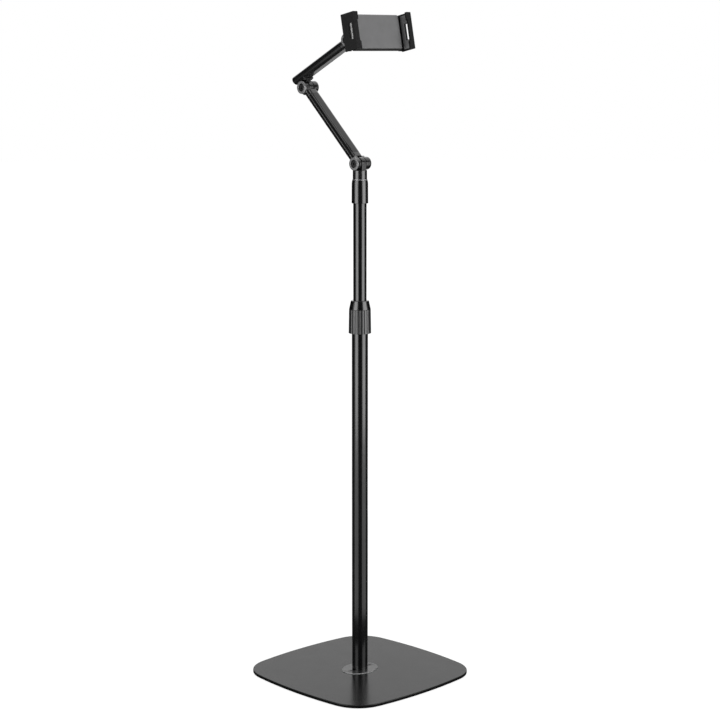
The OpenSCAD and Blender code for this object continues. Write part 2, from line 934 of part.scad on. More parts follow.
module upper_arm_cap() {
    color(black)
        at_upper_arm()
            translate([0, 0, elbow_offset])
                rotate([90, 0, 0]) {
                    translate([0, 0, cap_edge - tail_len])
                        linear_extrude(cap_t - cap_edge)
                            polygon(flat_oval(arm_w, arm_t));
                    translate([0, 0, -tail_len])
                        linear_extrude(cap_edge)
                            polygon(flat_oval(arm_w - 2 * cap_edge, arm_t - 2 * cap_edge));
                    translate([0, 0, cap_t - tail_len - cap_edge])
                        linear_extrude(cap_plug_len)
                            polygon(flat_oval(spigot_w, spigot_t));
                }
}

module elbow_bracket() {
    color(black)
        at_upper_arm()
            difference() {
                union() {
                    across(tongue_t)
                        polygon([
                            [-bracket_waist, 0], [bracket_waist, 0],
                            [bracket_top, bracket_foot + over], [-bracket_top, bracket_foot + over]
                        ]);
                    rod_x(barrel_r, -tongue_t / 2, tongue_t / 2);
                    block(
                        [-bracket_foot_w / 2, -bracket_foot_len / 2, bracket_foot],
                        [bracket_foot_w / 2, bracket_foot_len / 2, bracket_face + bracket_saddle_h]);
                }
                translate([0, 0, elbow_offset])
                    rotate([90, 0, 0])
                        linear_extrude(2 * bracket_foot_len, center = true)
                            polygon(flat_oval(arm_w + 2 * bond_gap, arm_t + 2 * bond_gap));
                rod_x(pivot_r + run_gap, -tongue_t, tongue_t);
                rivet_holes(bond_gap);
            }
}

module bracket_rivets() {
    color(black)
        at_upper_arm()
            for (x = [-rivet_x, rivet_x])
                for (y = [-rivet_y, rivet_y])
                    translate([x, y, 0]) {
                        translate([0, 0, bracket_foot - rivet_head_h])
                            cylinder(
                                r1 = rivet_head_r - rivet_head_taper,
                                r2 = rivet_head_r,
                                h = rivet_head_h);
                        translate([0, 0, bracket_foot])
                            cylinder(r = rivet_r, h = bracket_foot_t + arm_t / 2);
                    }
}

module head_fork() {
    at_head_end()
        fork();
}

module head_pivot_bolt() {
    at_head_end()
        pivot_bolt();
}

module head_pivot_nut() {
    at_head_end()
        pivot_nut();
}

module head_pivot_washers() {
    at_head_end()
        pivot_washers();
}

// Ball head and holder, drawn with the head pivot at the origin and the front along -Y

module head_knuckle() {
    color(black)
        at_head()
            difference() {
                union() {
                    rod_x(barrel_r, -tongue_t / 2, tongue_t / 2);
                    across(tongue_t)
                        polygon([
                            [0, knuckle_inset - barrel_r], [0, barrel_r - knuckle_inset],
                            [-knuckle_reach, stem_r], [-knuckle_reach, -stem_r]
                        ]);
                    rod_front(stem_r, barrel_r - knuckle_inset, ball_dist);
                    translate([0, -ball_dist, 0])
                        sphere(r = ball_r);
                }
                rod_x(pivot_r + run_gap, -tongue_t, tongue_t);
            }
}

// Cup turned about the head's axis: its hollow is an arc around the ball's centre
module ball_seat() {
    mouth = acos((ball_dist - seat_back) / seat_bore_r);
    color(silver)
        at_head()
            translate([0, -ball_dist, 0])
                rotate([90, 0, 0])
                    rotate_extrude()
                        polygon(concat(
                            arc_pts([0, 0], seat_bore_r, mouth - 90, 90, 28),
                            [[0, seat_front - ball_dist], [seat_r, seat_front - ball_dist]],
                            [[seat_r, seat_back - ball_dist]]));
}

module ball_ring_nut() {
    color(black)
        at_head()
            difference() {
                rod_front(ring_nut_r, ring_nut_back, ring_nut_front);
                rod_front(ring_nut_mouth_r, ring_nut_back - over, ring_nut_rim + over);
                rod_front(ring_nut_bore_r, ring_nut_rim, ring_nut_front + over);
                for (i = [0:ring_nut_flutes - 1])
                    rotate([0, 360 * i / ring_nut_flutes, 0])
                        translate([ring_nut_r + flute_r - 2 * flute_depth, 0, 0])
                            rod_front(flute_r, ring_nut_back - over, ring_nut_front + over);
            }
}

// Section of the holder's body, as [y, z], from one depth to another
function body_section(from, to, round_back) =
    let (
        upper = round_back
            ? concat([[-to, half_h]], arc_pts([-from - edge_r, half_h - edge_r], edge_r, 90, 0, 5))
            : concat(arc_pts([edge_r - to, half_h - edge_r], edge_r, 180, 90, 5), [[-from, half_h]])
    )
    concat(upper, [for (i = [len(upper) - 1:-1:0]) [upper[i][0], -upper[i][1]]]);

// Room that a slider runs in, for the jaw on one side
module slider_lane(side) {
    front_block(
        side > 0 ? [0, body_half + over] : [-body_half - over, 0],
        [slider_back - pass_gap, slider_front + pass_gap],
        side > 0
            ? [-lane_gap - slider_h - pass_gap, pass_gap - lane_gap]
            : [lane_gap - pass_gap, lane_gap + slider_h + pass_gap]);
}

module screw_places() {
    for (x = [-screw_x, screw_x])
        for (z = [-screw_z, screw_z])
            translate([x, 0, z])
                children();
}

module rear_housing() {
    color(black)
        at_head()
            difference() {
                union() {
                    difference() {
                        across(2 * body_half)
                            polygon(body_section(housing_back, joint_face, true));
                        front_block(
                            [-cavity_half_w, cavity_half_w],
                            [cavity_back, joint_face + over],
                            [-cavity_half_h, cavity_half_h]);
                    }
                    rod_front(socket_r, socket_back, housing_back + over);
                    screw_places()
                        rod_front(boss_r, cavity_back - over, joint_face);
                    for (side = [-1, 1])
                        front_block(
                            side < 0 ? [rib_x - rib_t, rib_x] : [-rib_x, rib_t - rib_x],
                            [cavity_back - over, joint_face],
                            side < 0
                                ? [lane_gap + slider_h + pass_gap, cavity_half_h + over]
                                : [-cavity_half_h - over, -lane_gap - slider_h - pass_gap]);
                }
                rod_front(socket_bore_r, socket_back - over, seat_front + run_gap);
                slider_lane(1);
                slider_lane(-1);
                screw_places() {
                    rod_front(screw_r + bond_gap, housing_back - over, joint_face + over);
                    rod_front(screw_head_r + bond_gap, housing_back - over, screw_seat);
                }
            }
}

module front_cover() {
    color(grey)
        at_head()
            difference() {
                across(2 * body_half)
                    polygon(body_section(joint_face, cover_face, false));
                slab_front(cover_face - front_pad_t, cover_face + over)
                    polygon(rounded_rect(
                        2 * (pad_half_w + bond_gap),
                        2 * (pad_half_h + bond_gap),
                        jaw_corner_r));
                screw_places()
                    rod_front(screw_r + bond_gap, joint_face - over, screw_reach + bond_gap);
            }
}

module front_pad() {
    color(grey)
        at_head()
            slab_front(cover_face - front_pad_t, cover_face)
                polygon(rounded_rect(2 * pad_half_w, 2 * pad_half_h, jaw_corner_r));
}

module housing_screws() {
    color(steel)
        at_head()
            screw_places() {
                difference() {
                    rod_front(screw_head_r, screw_seat - screw_head_h, screw_seat);
                    rod_front(
                        screw_r * hex_width,
                        housing_back - over,
                        screw_seat - screw_head_h * hex_floor,
                        $fn = 6);
                }
                rod_front(screw_r, screw_seat - screw_shank_sink, screw_reach);
            }
}

// Front lip of a jaw, as [x, z]: a hook at each end and an edge that sits back between them
function lip_outline() =
    let (
        r = jaw_corner_r / 2,
        back = jaw_inner + jaw_wall / 2,
        tip = holder_w / 2 - lip_reach,
        top = jaw_half_h,
        step = jaw_half_h - hook_h
    )
    concat(
        [[back, -top]],
        arc_pts([tip + r, r - top], r, 270, 180, 3),
        [[tip, -step - lip_recess], [tip + lip_recess, -step]],
        [[tip + lip_recess, step], [tip, step + lip_recess]],
        arc_pts([tip + r, top - r], r, 180, 90, 3),
        [[back, top]]);

// Jaw on the side x > 0: the other one is its turned copy, so that the two sliders lie in two lanes
module jaw_shape() {
    difference() {
        union() {
            slab_front(holder_back, jaw_front)
                translate([jaw_inner + jaw_wall / 2, 0])
                    polygon(rounded_rect(jaw_wall, jaw_h, jaw_wall * jaw_edge_ratio, 3));
            slab_front(lip_back, jaw_front)
                polygon(lip_outline());
            front_block(
                [jaw_back_in, jaw_inner + jaw_wall / 2],
                [holder_back, holder_back + jaw_wall],
                [jaw_corner_r / 2 - jaw_half_h, jaw_half_h - jaw_corner_r / 2]);
            front_block(
                [-slider_end, jaw_inner + jaw_wall / 2],
                [slider_back, slider_front],
                [-lane_gap - slider_h, -lane_gap]);
            front_block(
                [-slider_end, tab_len - slider_end],
                [slider_back, slider_front],
                [-tab_top, over - lane_gap - slider_h]);
        }
        front_block(
            [jaw_inner - over, holder_w / 2 + over],
            [slot_back, slot_front],
            [-jaw_slot_h / 2, jaw_slot_h / 2]);
    }
}

module jaw_lining() {
    difference() {
        front_block(
            [jaw_inner - jaw_pad_t, jaw_inner],
            [slider_front + lining_gap, lip_back - lining_gap],
            [jaw_corner_r - half_h, half_h - jaw_corner_r]);
        front_block(
            [jaw_inner - jaw_pad_t - over, jaw_inner + over],
            [slot_back - lining_margin, slot_front + lining_margin],
            [-jaw_slot_h / 2 - lining_margin, jaw_slot_h / 2 + lining_margin]);
    }
}

// Half a turn about the holder's own axis
module other_side() {
    rotate([0, 180, 0])
        children();
}

module right_jaw() {
    color(black)
        at_head()
            jaw_shape();
}

module left_jaw() {
    color(black)
        at_head()
            other_side()
                jaw_shape();
}

module right_jaw_pad() {
    color(dark)
        at_head()
            jaw_lining();
}

module left_jaw_pad() {
    color(dark)
        at_head()
            other_side()
                jaw_lining();
}

// Coil spring along X from 0 to its length: one tube swept along a helix
coil_rings = 8;
coil_sides = 6;

function coil_point(i, s) =
    let (
        turn = 360 * i / coil_rings,
        along = spring_wire / 2 + (spring_len - spring_wire) * i / (coil_rings * spring_turns),
        side = 360 * s / coil_sides,
        reach = spring_d / 2 + spring_wire / 2 * cos(side)
    )
    [along + spring_wire / 2 * sin(side), reach * cos(turn), reach * sin(turn)];

module coil() {
    rings = coil_rings * spring_turns;
    points = [for (i = [0:rings]) for (s = [0:coil_sides - 1]) coil_point(i, s)];
    walls = [
        for (i = [0:rings - 1]) for (s = [0:coil_sides - 1])
            let (a = i * coil_sides + s, b = i * coil_sides + (s + 1) % coil_sides)
            each [[a, a + coil_sides, b], [b, a + coil_sides, b + coil_sides]]
    ];
    first = [for (s = [1:coil_sides - 2]) [0, s, s + 1]];
    end = rings * coil_sides;
    last = [for (s = [1:coil_sides - 2]) [end, end + s + 1, end + s]];
    polyhedron(points, concat(walls, first, last));
}

module right_spring_shape() {
    translate([tab_len - slider_end, -spring_mid, -spring_z])
        coil();
}

module right_jaw_spring() {
    color(steel)
        at_head()
            right_spring_shape();
}

module left_jaw_spring() {
    color(steel)
        at_head()
            other_side()
                right_spring_shape();
}

base_pad();
base_plate();
base_bolt();
pole_plug();
pole_flange();
lower_pole();
lock_ferrule();
lock_collet();
lock_nut();
lock_grip();
upper_pole();
upper_pole_bush();
top_coupling();
swivel_ring();
swivel_neck();
swivel_bolt();
swivel_spring_washer();
lower_arm_tube();
base_pivot_fork();
elbow_fork();
base_pivot_bolt();
base_pivot_nut();
base_pivot_washers();
elbow_pivot_bolt();
elbow_pivot_nut();
elbow_pivot_washers();
upper_arm_tube();
upper_arm_cap();
elbow_bracket();
bracket_rivets();
head_fork();
head_pivot_bolt();
head_pivot_nut();
head_pivot_washers();
head_knuckle();
ball_seat();
ball_ring_nut();
rear_housing();
front_cover();
front_pad();
housing_screws();
left_jaw();
left_jaw_pad();
left_jaw_spring();
right_jaw();
right_jaw_pad();
right_jaw_spring();
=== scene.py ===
"""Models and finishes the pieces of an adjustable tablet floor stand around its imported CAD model."""

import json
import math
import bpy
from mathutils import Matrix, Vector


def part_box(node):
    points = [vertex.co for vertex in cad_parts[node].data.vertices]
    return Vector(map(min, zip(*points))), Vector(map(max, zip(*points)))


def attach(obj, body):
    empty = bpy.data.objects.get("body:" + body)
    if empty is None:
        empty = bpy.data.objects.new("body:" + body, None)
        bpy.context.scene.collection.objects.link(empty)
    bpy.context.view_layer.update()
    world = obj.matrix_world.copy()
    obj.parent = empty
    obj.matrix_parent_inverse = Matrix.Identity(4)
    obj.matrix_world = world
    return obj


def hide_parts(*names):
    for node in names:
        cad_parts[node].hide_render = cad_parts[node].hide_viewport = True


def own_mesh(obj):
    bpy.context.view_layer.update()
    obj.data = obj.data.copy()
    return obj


bl_info = {
    "name": "Tablet Floor Stand",
    "version": (1, 0, 0),
    "blender": (4, 5, 0),
    "location": "View3D > Sidebar > Floor Stand",
    "description": "Models and finishes the pieces of an adjustable tablet floor stand",
    "category": "Object",
}

import bmesh
import bpy
from bpy.props import FloatProperty, FloatVectorProperty, IntProperty, PointerProperty
from mathutils import Matrix, Vector

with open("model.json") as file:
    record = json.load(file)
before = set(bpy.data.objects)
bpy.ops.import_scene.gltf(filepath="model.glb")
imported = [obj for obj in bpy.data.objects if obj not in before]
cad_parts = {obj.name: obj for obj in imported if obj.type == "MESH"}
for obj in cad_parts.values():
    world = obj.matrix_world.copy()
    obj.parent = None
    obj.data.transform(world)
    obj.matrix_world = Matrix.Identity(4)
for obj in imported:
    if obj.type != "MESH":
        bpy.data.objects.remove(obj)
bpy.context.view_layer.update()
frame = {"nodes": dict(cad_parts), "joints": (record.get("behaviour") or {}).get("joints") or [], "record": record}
NODES = frame["nodes"]
RECORD = frame["record"]
BODY_OF = {n: b for b, members in RECORD["behaviour"]["bodies"].items() for n in members}
SLOT_OF = {piece["node"]: piece["material_slot"] for piece in RECORD["subparts"]}
JOINTS = {joint["name"]: joint for joint in frame["joints"]}

UP = Vector((0, 0, 1))
ACROSS = Vector((1, 0, 0))
MM = 0.001
SAME_PLACE = 1e-6
FULL_TURN = 2 * math.pi
FLAT_ANGLE = math.radians(0.5)  # faces that meet flatter than this become one

# Steps of the curved outlines
OVAL_STEPS = 16  # each round side of an arm tube
SIDE_STEPS, CORNER_STEPS = 24, 16  # each side and corner of the base
FLUTE_STEPS = 5  # each flute of the grip, and the rib beside it
COIL_STEPS, WIRE_FACETS = 16, 8  # each turn of a spring, and its wire
CARD_STEPS = 24  # each dark card of the stage

# Places of the second colours
RING_SHEEN_RIM = (1.8 * MM, 1.4 * MM)  # from a barrel's end: where its painted sheen begins, and where it is full; the sheen stands for the lamps' reflection in the ring face
DARK_EDGE = 0.3 * MM  # height over which the cover's lower edge turns black
RIM_HIGHLIGHT_SPAN = (0.15 * MM, 0.45 * MM)  # below the flange's top: where its painted rim highlight begins, and where it is full
FLANGE_PLAY = 0.1 * MM


def joint_place(name):
    return Vector(JOINTS[name]["pos_m"])


# Frames of the pieces: the lower arm runs along its own Z
BASE_PIVOT = joint_place("lower_arm_tilt")
ELBOW = joint_place("elbow_fold")
HOLDER_FRONT = Vector(JOINTS["holder_spin"]["axis"])
HOLDER_UP = ACROSS.cross(-HOLDER_FRONT)
LOWER_ARM = Matrix.Translation(BASE_PIVOT) @ UP.rotation_difference(ELBOW - BASE_PIVOT).to_matrix().to_4x4()


class StandSizes(bpy.types.PropertyGroup):
    """Sizes of the forms that the scene adds to the CAD model."""

    base_corner: FloatProperty(
        name="Base corner", description="Radius of the base plate's corners",
        default=0.056, min=0.04, max=0.07, unit="LENGTH")
    base_bow: FloatProperty(
        name="Base bow", description="How far the middle of each side of the base bows outwards",
        default=0.0098, min=0.004, max=0.014, unit="LENGTH")
    base_edge: FloatProperty(
        name="Base edge", description="Rounding of the base plate's edge",
        default=0.0011, min=0.0003, max=0.002, unit="LENGTH")
    pad_inset: FloatProperty(
        name="Pad inset", description="Distance from the plate's edge in to the foam pad's edge",
        default=0.004, min=0.002, max=0.01, unit="LENGTH")
    flange_edge: FloatProperty(
        name="Flange edge", description="Rounding of the flange's rim",
        default=0.0007, min=0.0002, max=0.001, unit="LENGTH")
    pole_wall: FloatProperty(
        name="Pole wall", description="Wall of the two poles",
        default=0.0012, min=0.001, max=0.0015, unit="LENGTH")
    turned_facets: IntProperty(
        name="Turned facets", description="Facets around each turned piece", default=96, min=32, max=160)
    turned_edge: FloatProperty(
        name="Turned edge", description="Rounding of the edges of turned pieces",
        default=0.0006, min=0.0001, max=0.001, unit="LENGTH")
    grip_top: FloatProperty(
        name="Grip top", description="Diameter of the grip at its upper end",
        default=0.0337, min=0.032, max=0.036, unit="LENGTH")
    grip_flutes: IntProperty(
        name="Grip flutes", description="Number of flutes around the grip", default=16, min=10, max=24)
    grip_skin: FloatProperty(
        name="Grip skin", description="Rubber left under a flute of the grip",
        default=0.0005, min=0.0003, max=0.001, unit="LENGTH")
    flute_radius: FloatProperty(
        name="Flute radius", description="Radius of each flute of the grip",
        default=0.0022, min=0.001, max=0.004, unit="LENGTH")
    flute_depth: FloatProperty(
        name="Flute depth", description="Depth of each flute of the grip",
        default=0.0005, min=0.0003, max=0.0006, unit="LENGTH")
    arm_width: FloatProperty(
        name="Arm width", description="Width of the flat oval arm tubes",
        default=0.0215, min=0.0205, max=0.024, unit="LENGTH")
    arm_thickness: FloatProperty(
        name="Arm thickness", description="Thickness of the flat oval arm tubes",
        default=0.0137, min=0.011, max=0.014, unit="LENGTH")
    arm_wall: FloatProperty(
        name="Arm wall", description="Wall of the arm tubes",
        default=0.0016, min=0.0012, max=0.002, unit="LENGTH")
    fork_reach: FloatProperty(
        name="Fork reach", description="Distance from a pivot to the end of its arm tube",
        default=0.019, min=0.017, max=0.024, unit="LENGTH")
    upper_arm_rise: FloatProperty(
        name="Upper arm rise", description="Rise of the upper arm above level",
        default=math.radians(27), min=0.1, max=0.8, subtype="ANGLE")
    upper_arm_length: FloatProperty(
        name="Upper arm length", description="Distance from the elbow to the head pivot along the upper arm",
        default=0.1228, min=0.11, max=0.15, unit="LENGTH")
    elbow_offset: FloatProperty(
        name="Elbow offset", description="Offset of the upper arm from the elbow pivot",
        default=0.0192, min=0.019, max=0.024, unit="LENGTH")
    tail_length: FloatProperty(
        name="Tail length", description="Length of the upper arm's tail behind the elbow",
        default=0.017, min=0.016, max=0.026, unit="LENGTH")
    cap_thickness: FloatProperty(
        name="Cap thickness", description="Thickness of the cap on the upper arm's tail",
        default=0.002, min=0.001, max=0.004, unit="LENGTH")
    cap_edge: FloatProperty(
        name="Cap edge", description="Rounding of that cap's edges",
        default=0.0005, min=0.0002, max=0.001, unit="LENGTH")
    cast_step: FloatProperty(
        name="Cast step", description="Mesh step of the cast pieces", default=0.0004, min=0.0002, max=0.001,
        unit="LENGTH")
    bumper_reach: FloatProperty(
        name="Bumper reach", description="How far the holder's end bumpers stand out from its ends",
        default=0.003, min=0.001, max=0.006, unit="LENGTH")
    bumper_depth: FloatProperty(
        name="Bumper depth", description="Size of the end bumpers from front to back",
        default=0.0045, min=0.003, max=0.0047, unit="LENGTH")
    bumper_height: FloatProperty(
        name="Bumper height", description="Size of the end bumpers up and down",
        default=0.03, min=0.02, max=0.04, unit="LENGTH")
    bumper_inset: FloatProperty(
        name="Bumper inset", description="Distance from the cover's face back to the end bumpers",
        default=0.0035, min=0.003, max=0.004, unit="LENGTH")
    spring_turns: IntProperty(
        name="Spring turns", description="Turns of each jaw spring", default=16, min=10, max=18)
    spring_diameter: FloatProperty(
        name="Spring diameter", description="Mean diameter of each jaw spring",
        default=0.0034, min=0.003, max=0.0036, unit="LENGTH")
    spring_wire: FloatProperty(
        name="Spring wire", description="Diameter of the springs' wire",
        default=0.0006, min=0.0004, max=0.0006, unit="LENGTH")
    fine_edge: FloatProperty(
        name="Fine edge", description="Rounding of the edges of small metal pieces",
        default=0.00025, min=0.0001, max=0.0005, unit="LENGTH")
    moulded_edge: FloatProperty(
        name="Moulded edge", description="Rounding of the edges of moulded pieces",
        default=0.0007, min=0.0002, max=0.0012, unit="LENGTH")


COLOUR = dict(subtype="COLOR", size=3, min=0, max=1)


class StandColours(bpy.types.PropertyGroup):
    """Colours of the stand's finishes."""

    black_powder_coat: FloatVectorProperty(
        name="Powder coat", description="Colour of the base plate",
        default=(0.005, 0.005, 0.0051), **COLOUR)
    black_lacquer: FloatVectorProperty(
        name="Lacquer", description="Colour of the poles and their fittings",
        default=(0.004, 0.004, 0.0042), **COLOUR)
    black_metal: FloatVectorProperty(
        name="Black metal", description="Colour of the arms, castings and black fasteners",
        default=(0.008, 0.008, 0.0082), **COLOUR)
    black_plastic: FloatVectorProperty(
        name="Black plastic", description="Colour of the moulded pieces",
        default=(0.007, 0.007, 0.0072), **COLOUR)
    grip_rubber: FloatVectorProperty(
        name="Grip rubber", description="Colour of the ribbed grip",
        default=(0.016, 0.016, 0.0165), **COLOUR)
    jaw_rubber: FloatVectorProperty(
        name="Jaw rubber", description="Colour of the jaws' linings",
        default=(0.17, 0.17, 0.172), **COLOUR)
    grey_front: FloatVectorProperty(
        name="Grey front", description="Colour of the holder's front cover and pad",
        default=(0.16, 0.16, 0.162), **COLOUR)
    white_nylon: FloatVectorProperty(
        name="White nylon", description="Colour of the nylon pieces and the end bumpers",
        default=(0.68, 0.68, 0.675), **COLOUR)
    # This colour is also painted as a highlight round the flange's rim
    bare_metal_and_rim_highlight: FloatVectorProperty(
        name="Bare metal", description="Colour of zinc plated metal and of the painted highlight on the flange's rim",
        default=(0.60, 0.60, 0.61), **COLOUR)
    ring_metal: FloatVectorProperty(
        name="Ring metal", description="Colour of the ring under the neck",
        default=(0.30, 0.30, 0.305), **COLOUR)
    # Painted reflection: this lighter grey stands for the lamps' reflection in the castings' ring faces
    ring_face_sheen: FloatVectorProperty(
        name="Ring face sheen", description="Colour painted on the castings' ring faces for their reflection of the lamps",
        default=(0.19, 0.19, 0.192), **COLOUR)


class StageSettings(bpy.types.PropertyGroup):
    """The camera and the studio light."""

    camera_place: FloatVectorProperty(
        name="Camera place", description="Where the camera stands",
        subtype="TRANSLATION", size=3, default=(-1.98295, -2.07083, 0.9834))
    camera_turn: FloatVectorProperty(
        name="Camera turn", description="How the camera is turned",
        subtype="EULER", size=3, default=(math.radians(80.557), 0, math.radians(-43.761)))
    camera_lens: FloatProperty(
        name="Lens", description="Focal length of the camera on a 36 mm sensor",
        default=93.43, min=20, max=200, subtype="DISTANCE_CAMERA")
    box_level: FloatProperty(
        name="Softbox level", description="Brightness of the softboxes at the sides", default=3.4, min=0, max=10)
    top_level: FloatProperty(
        name="Top level", description="Brightness of the softbox overhead", default=1.2, min=0, max=10)
    fill_level: FloatProperty(
        name="Fill level", description="Brightness of the broad light behind the camera", default=0.6, min=0, max=10)
    ambient_level: FloatProperty(
        name="Ambient level", description="Brightness of the light from all round", default=0.3, min=0, max=1)


def sizes():
    return bpy.context.scene.stand_sizes


# Mesh tools

def verts_of(geom):
    return [g for g in geom if isinstance(g, bmesh.types.BMVert)]


def edges_of(geom):
    return [g for g in geom if isinstance(g, bmesh.types.BMEdge)]


def arc(bm, vert, centre, angle, steps):
    """Carries a vertex round a centre, level, and returns the last vertex of the chain that it leaves."""
    made = bmesh.ops.spin(
        bm, geom=[vert], cent=centre, axis=UP, angle=angle, steps=steps, use_duplicate=False)
    return verts_of(made["geom_last"])[0]


def line(bm, vert, offset):
    """Carries a vertex along a straight line and returns the new vertex."""
    made = bmesh.ops.extrude_vert_indiv(bm, verts=[vert])
    bmesh.ops.translate(bm, vec=offset, verts=made["verts"])
    return made["verts"][0]


def merge(bm):
    bmesh.ops.remove_doubles(bm, verts=bm.verts, dist=SAME_PLACE)


def lift_loop(bm, edges, offset):
    """Draws a loop of edges along an offset as a wall and returns the edges at its far end."""
    made = bmesh.ops.extrude_edge_only(bm, edges=edges)["geom"]
    verts = verts_of(made)
    bmesh.ops.translate(bm, vec=offset, verts=verts)
    ends = set(verts)
    return [e for e in edges_of(made) if ends.issuperset(e.verts)]


def round_edges(bm, width, segments=3, sharper_than=35):
    limit = math.radians(sharper_than)
    edges = [e for e in bm.edges if len(e.link_faces) == 2 and e.calc_face_angle(0) > limit]
    if edges:
        bmesh.ops.bevel(
            bm, geom=edges, offset=width, offset_type="OFFSET", affect="EDGES", segments=segments,
            profile=0.5, clamp_overlap=True, material=-1)


def face_out(bm):
    merge(bm)
    bmesh.ops.recalc_face_normals(bm, faces=bm.faces)


def turned(points, place=Matrix.Identity(4)):
    """Turns a closed outline, given as (radius, height) pairs, about the Z axis of its place."""
    bm = bmesh.new()
    verts = [bm.verts.new((r, 0, z)) for r, z in points]
    for i, vert in enumerate(verts):
        bm.edges.new((vert, verts[(i + 1) % len(verts)]))
    bmesh.ops.spin(
        bm, geom=bm.verts[:] + bm.edges[:], cent=(0, 0, 0), axis=UP, angle=FULL_TURN,
        steps=sizes().turned_facets, use_merge=True, use_duplicate=False)
    face_out(bm)
    bmesh.ops.transform(bm, matrix=place, verts=bm.verts)
    return bm


def flat_oval(bm, width, thickness, z=0.0):
    """Draws the flat oval section of the arms and returns its edges."""
    before = set(bm.edges)
    r = thickness / 2
    straight = width - thickness
    vert = bm.verts.new((straight / 2, -r, z))
    vert = arc(bm, vert, (straight / 2, 0, z), math.pi, OVAL_STEPS)
    vert = line(bm, vert, (-straight, 0, 0))
    vert = arc(bm, vert, (-straight / 2, 0, z), math.pi, OVAL_STEPS)
    line(bm, vert, (straight, 0, 0))
    merge(bm)
    return [e for e in bm.edges if e not in before]


def cad_copy(node):
    """Copy of a CAD node's mesh with its triangles joined up into whole faces."""
    bm = bmesh.new()
    bm.from_mesh(NODES[node].data)
    merge(bm)
    bmesh.ops.dissolve_limit(
        bm, angle_limit=FLAT_ANGLE, use_dissolve_boundaries=False,
        verts=bm.verts, edges=bm.edges, delimit=set())
    return bm


def new_object(bm, name, material):
    """Object in the scene with the mesh and the material."""
    mesh = bpy.data.meshes.new(name)
    bm.to_mesh(mesh)
    bm.free()
    mesh.materials.append(material)
    made = bpy.data.objects.new(name, mesh)
    bpy.context.scene.collection.objects.link(made)
    return made


def add_piece(bm, name, body, slot, crease=40, weighted=True):
    """Makes the mesh a piece that rides on a body and has a slot's finish."""
    piece = new_object(bm, name, finish(slot))
    piece.data.shade_smooth()
    piece.data.set_sharp_from_angle(angle=math.radians(crease))
    if weighted:
        normals = piece.modifiers.new("flat_faces", "WEIGHTED_NORMAL")
        normals.keep_sharp = True
    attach(piece, body)
    return piece


def set_piece(bm, node, crease=40, weighted=True):
    """Makes the mesh the shown piece of a CAD node, on its body and with its finish."""
    piece = add_piece(bm, node + "_form", BODY_OF[node], SLOT_OF[node], crease, weighted)
    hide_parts(node)
    return piece


def soften(node, width, segments=2):
    """Piece with the CAD node's shape and rounded edges."""
    bm = cad_copy(node)
    round_edges(bm, width, segments)
    return set_piece(bm, node)


def cast(node):
    """Piece with the CAD node's shape and the soft fillets of a casting."""
    bm = bmesh.new()
    bm.from_mesh(NODES[node].data)
    merge(bm)
    piece = set_piece(bm, node, weighted=False)
    skin = piece.modifiers.new("skin", "REMESH")
    skin.mode = "VOXEL"
    skin.voxel_size = sizes().cast_step
    skin.use_smooth_shade = True
    fillet = piece.modifiers.new("fillet", "SMOOTH")
    fillet.factor = 0.5
    fillet.iterations = 6
    return piece


# Finishes

def new_node(tree, kind, **values):
    node = tree.nodes.new(kind)
    for name, value in values.items():
        setattr(node, name, value)
    return node


def new_group(name, inputs, outputs):
    """Empty shader group with its sockets, each a name and a kind: returns the tree and its two ends."""
    tree = bpy.data.node_groups.new(name, "ShaderNodeTree")
    for way, sockets in (("INPUT", inputs), ("OUTPUT", outputs)):
        for label, kind in sockets.items():
            tree.interface.new_socket(name=label, in_out=way, socket_type="NodeSocket" + kind)
    return tree, tree.nodes.new("NodeGroupInput"), tree.nodes.new("NodeGroupOutput")


def own_place(tree):
    """The object's own coordinates."""
    return new_node(tree, "ShaderNodeTexCoord").outputs["Object"]


def noise(tree, scale_socket, detail, stretch=None):
    """Noise on the piece's own coordinates, with its scale taken from a socket."""
    place = own_place(tree)
    if stretch:
        mapping = new_node(tree, "ShaderNodeMapping")
        mapping.inputs["Scale"].default_value = stretch
        tree.links.new(place, mapping.inputs["Vector"])
        place = mapping.outputs["Vector"]
    texture = new_node(tree, "ShaderNodeTexNoise")
    texture.inputs["Detail"].default_value = detail
    tree.links.new(place, texture.inputs["Vector"])
    tree.links.new(scale_socket, texture.inputs["Scale"])
    return texture.outputs["Fac"]


def swing(tree, value, middle, spread):
    """Turns a noise value into middle plus or minus spread."""
    # Noise mostly lies between 0.25 and 0.75, which this takes to -1 and 1
    centred = new_node(tree, "ShaderNodeMath", operation="MULTIPLY_ADD")
    centred.inputs[1].default_value = 4
    centred.inputs[2].default_value = -2
    tree.links.new(value, centred.inputs[0])
    out = new_node(tree, "ShaderNodeMath", operation="MULTIPLY_ADD")
    tree.links.new(centred.outputs[0], out.inputs[0])
    tree.links.new(spread, out.inputs[1])
    if isinstance(middle, float):
        out.inputs[2].default_value = middle
    else:
        tree.links.new(middle, out.inputs[2])
    return out.outputs[0]


def tone_drift_group():
    """Slow drift of the colour over a surface."""
    tree, start, end = new_group(
        "tone_drift", dict(Colour="Color", Spread="Float", Scale="Float"), dict(Colour="Color"))
    level = swing(tree, noise(tree, start.outputs["Scale"], 4), 1.0, start.outputs["Spread"])
    tint = new_node(tree, "ShaderNodeVectorMath", operation="SCALE")
    tree.links.new(start.outputs["Colour"], tint.inputs[0])
    tree.links.new(level, tint.inputs["Scale"])
    tree.links.new(tint.outputs[0], end.inputs["Colour"])
    return tree


def handling_marks_group():
    """Patches that are a little duller or shinier, as a handled surface has."""
    tree, start, end = new_group(
        "handling_marks", dict(Roughness="Float", Spread="Float", Scale="Float"), dict(Roughness="Float"))
    level = swing(
        tree, noise(tree, start.outputs["Scale"], 6), start.outputs["Roughness"], start.outputs["Spread"])
    tree.links.new(level, end.inputs["Roughness"])
    return tree


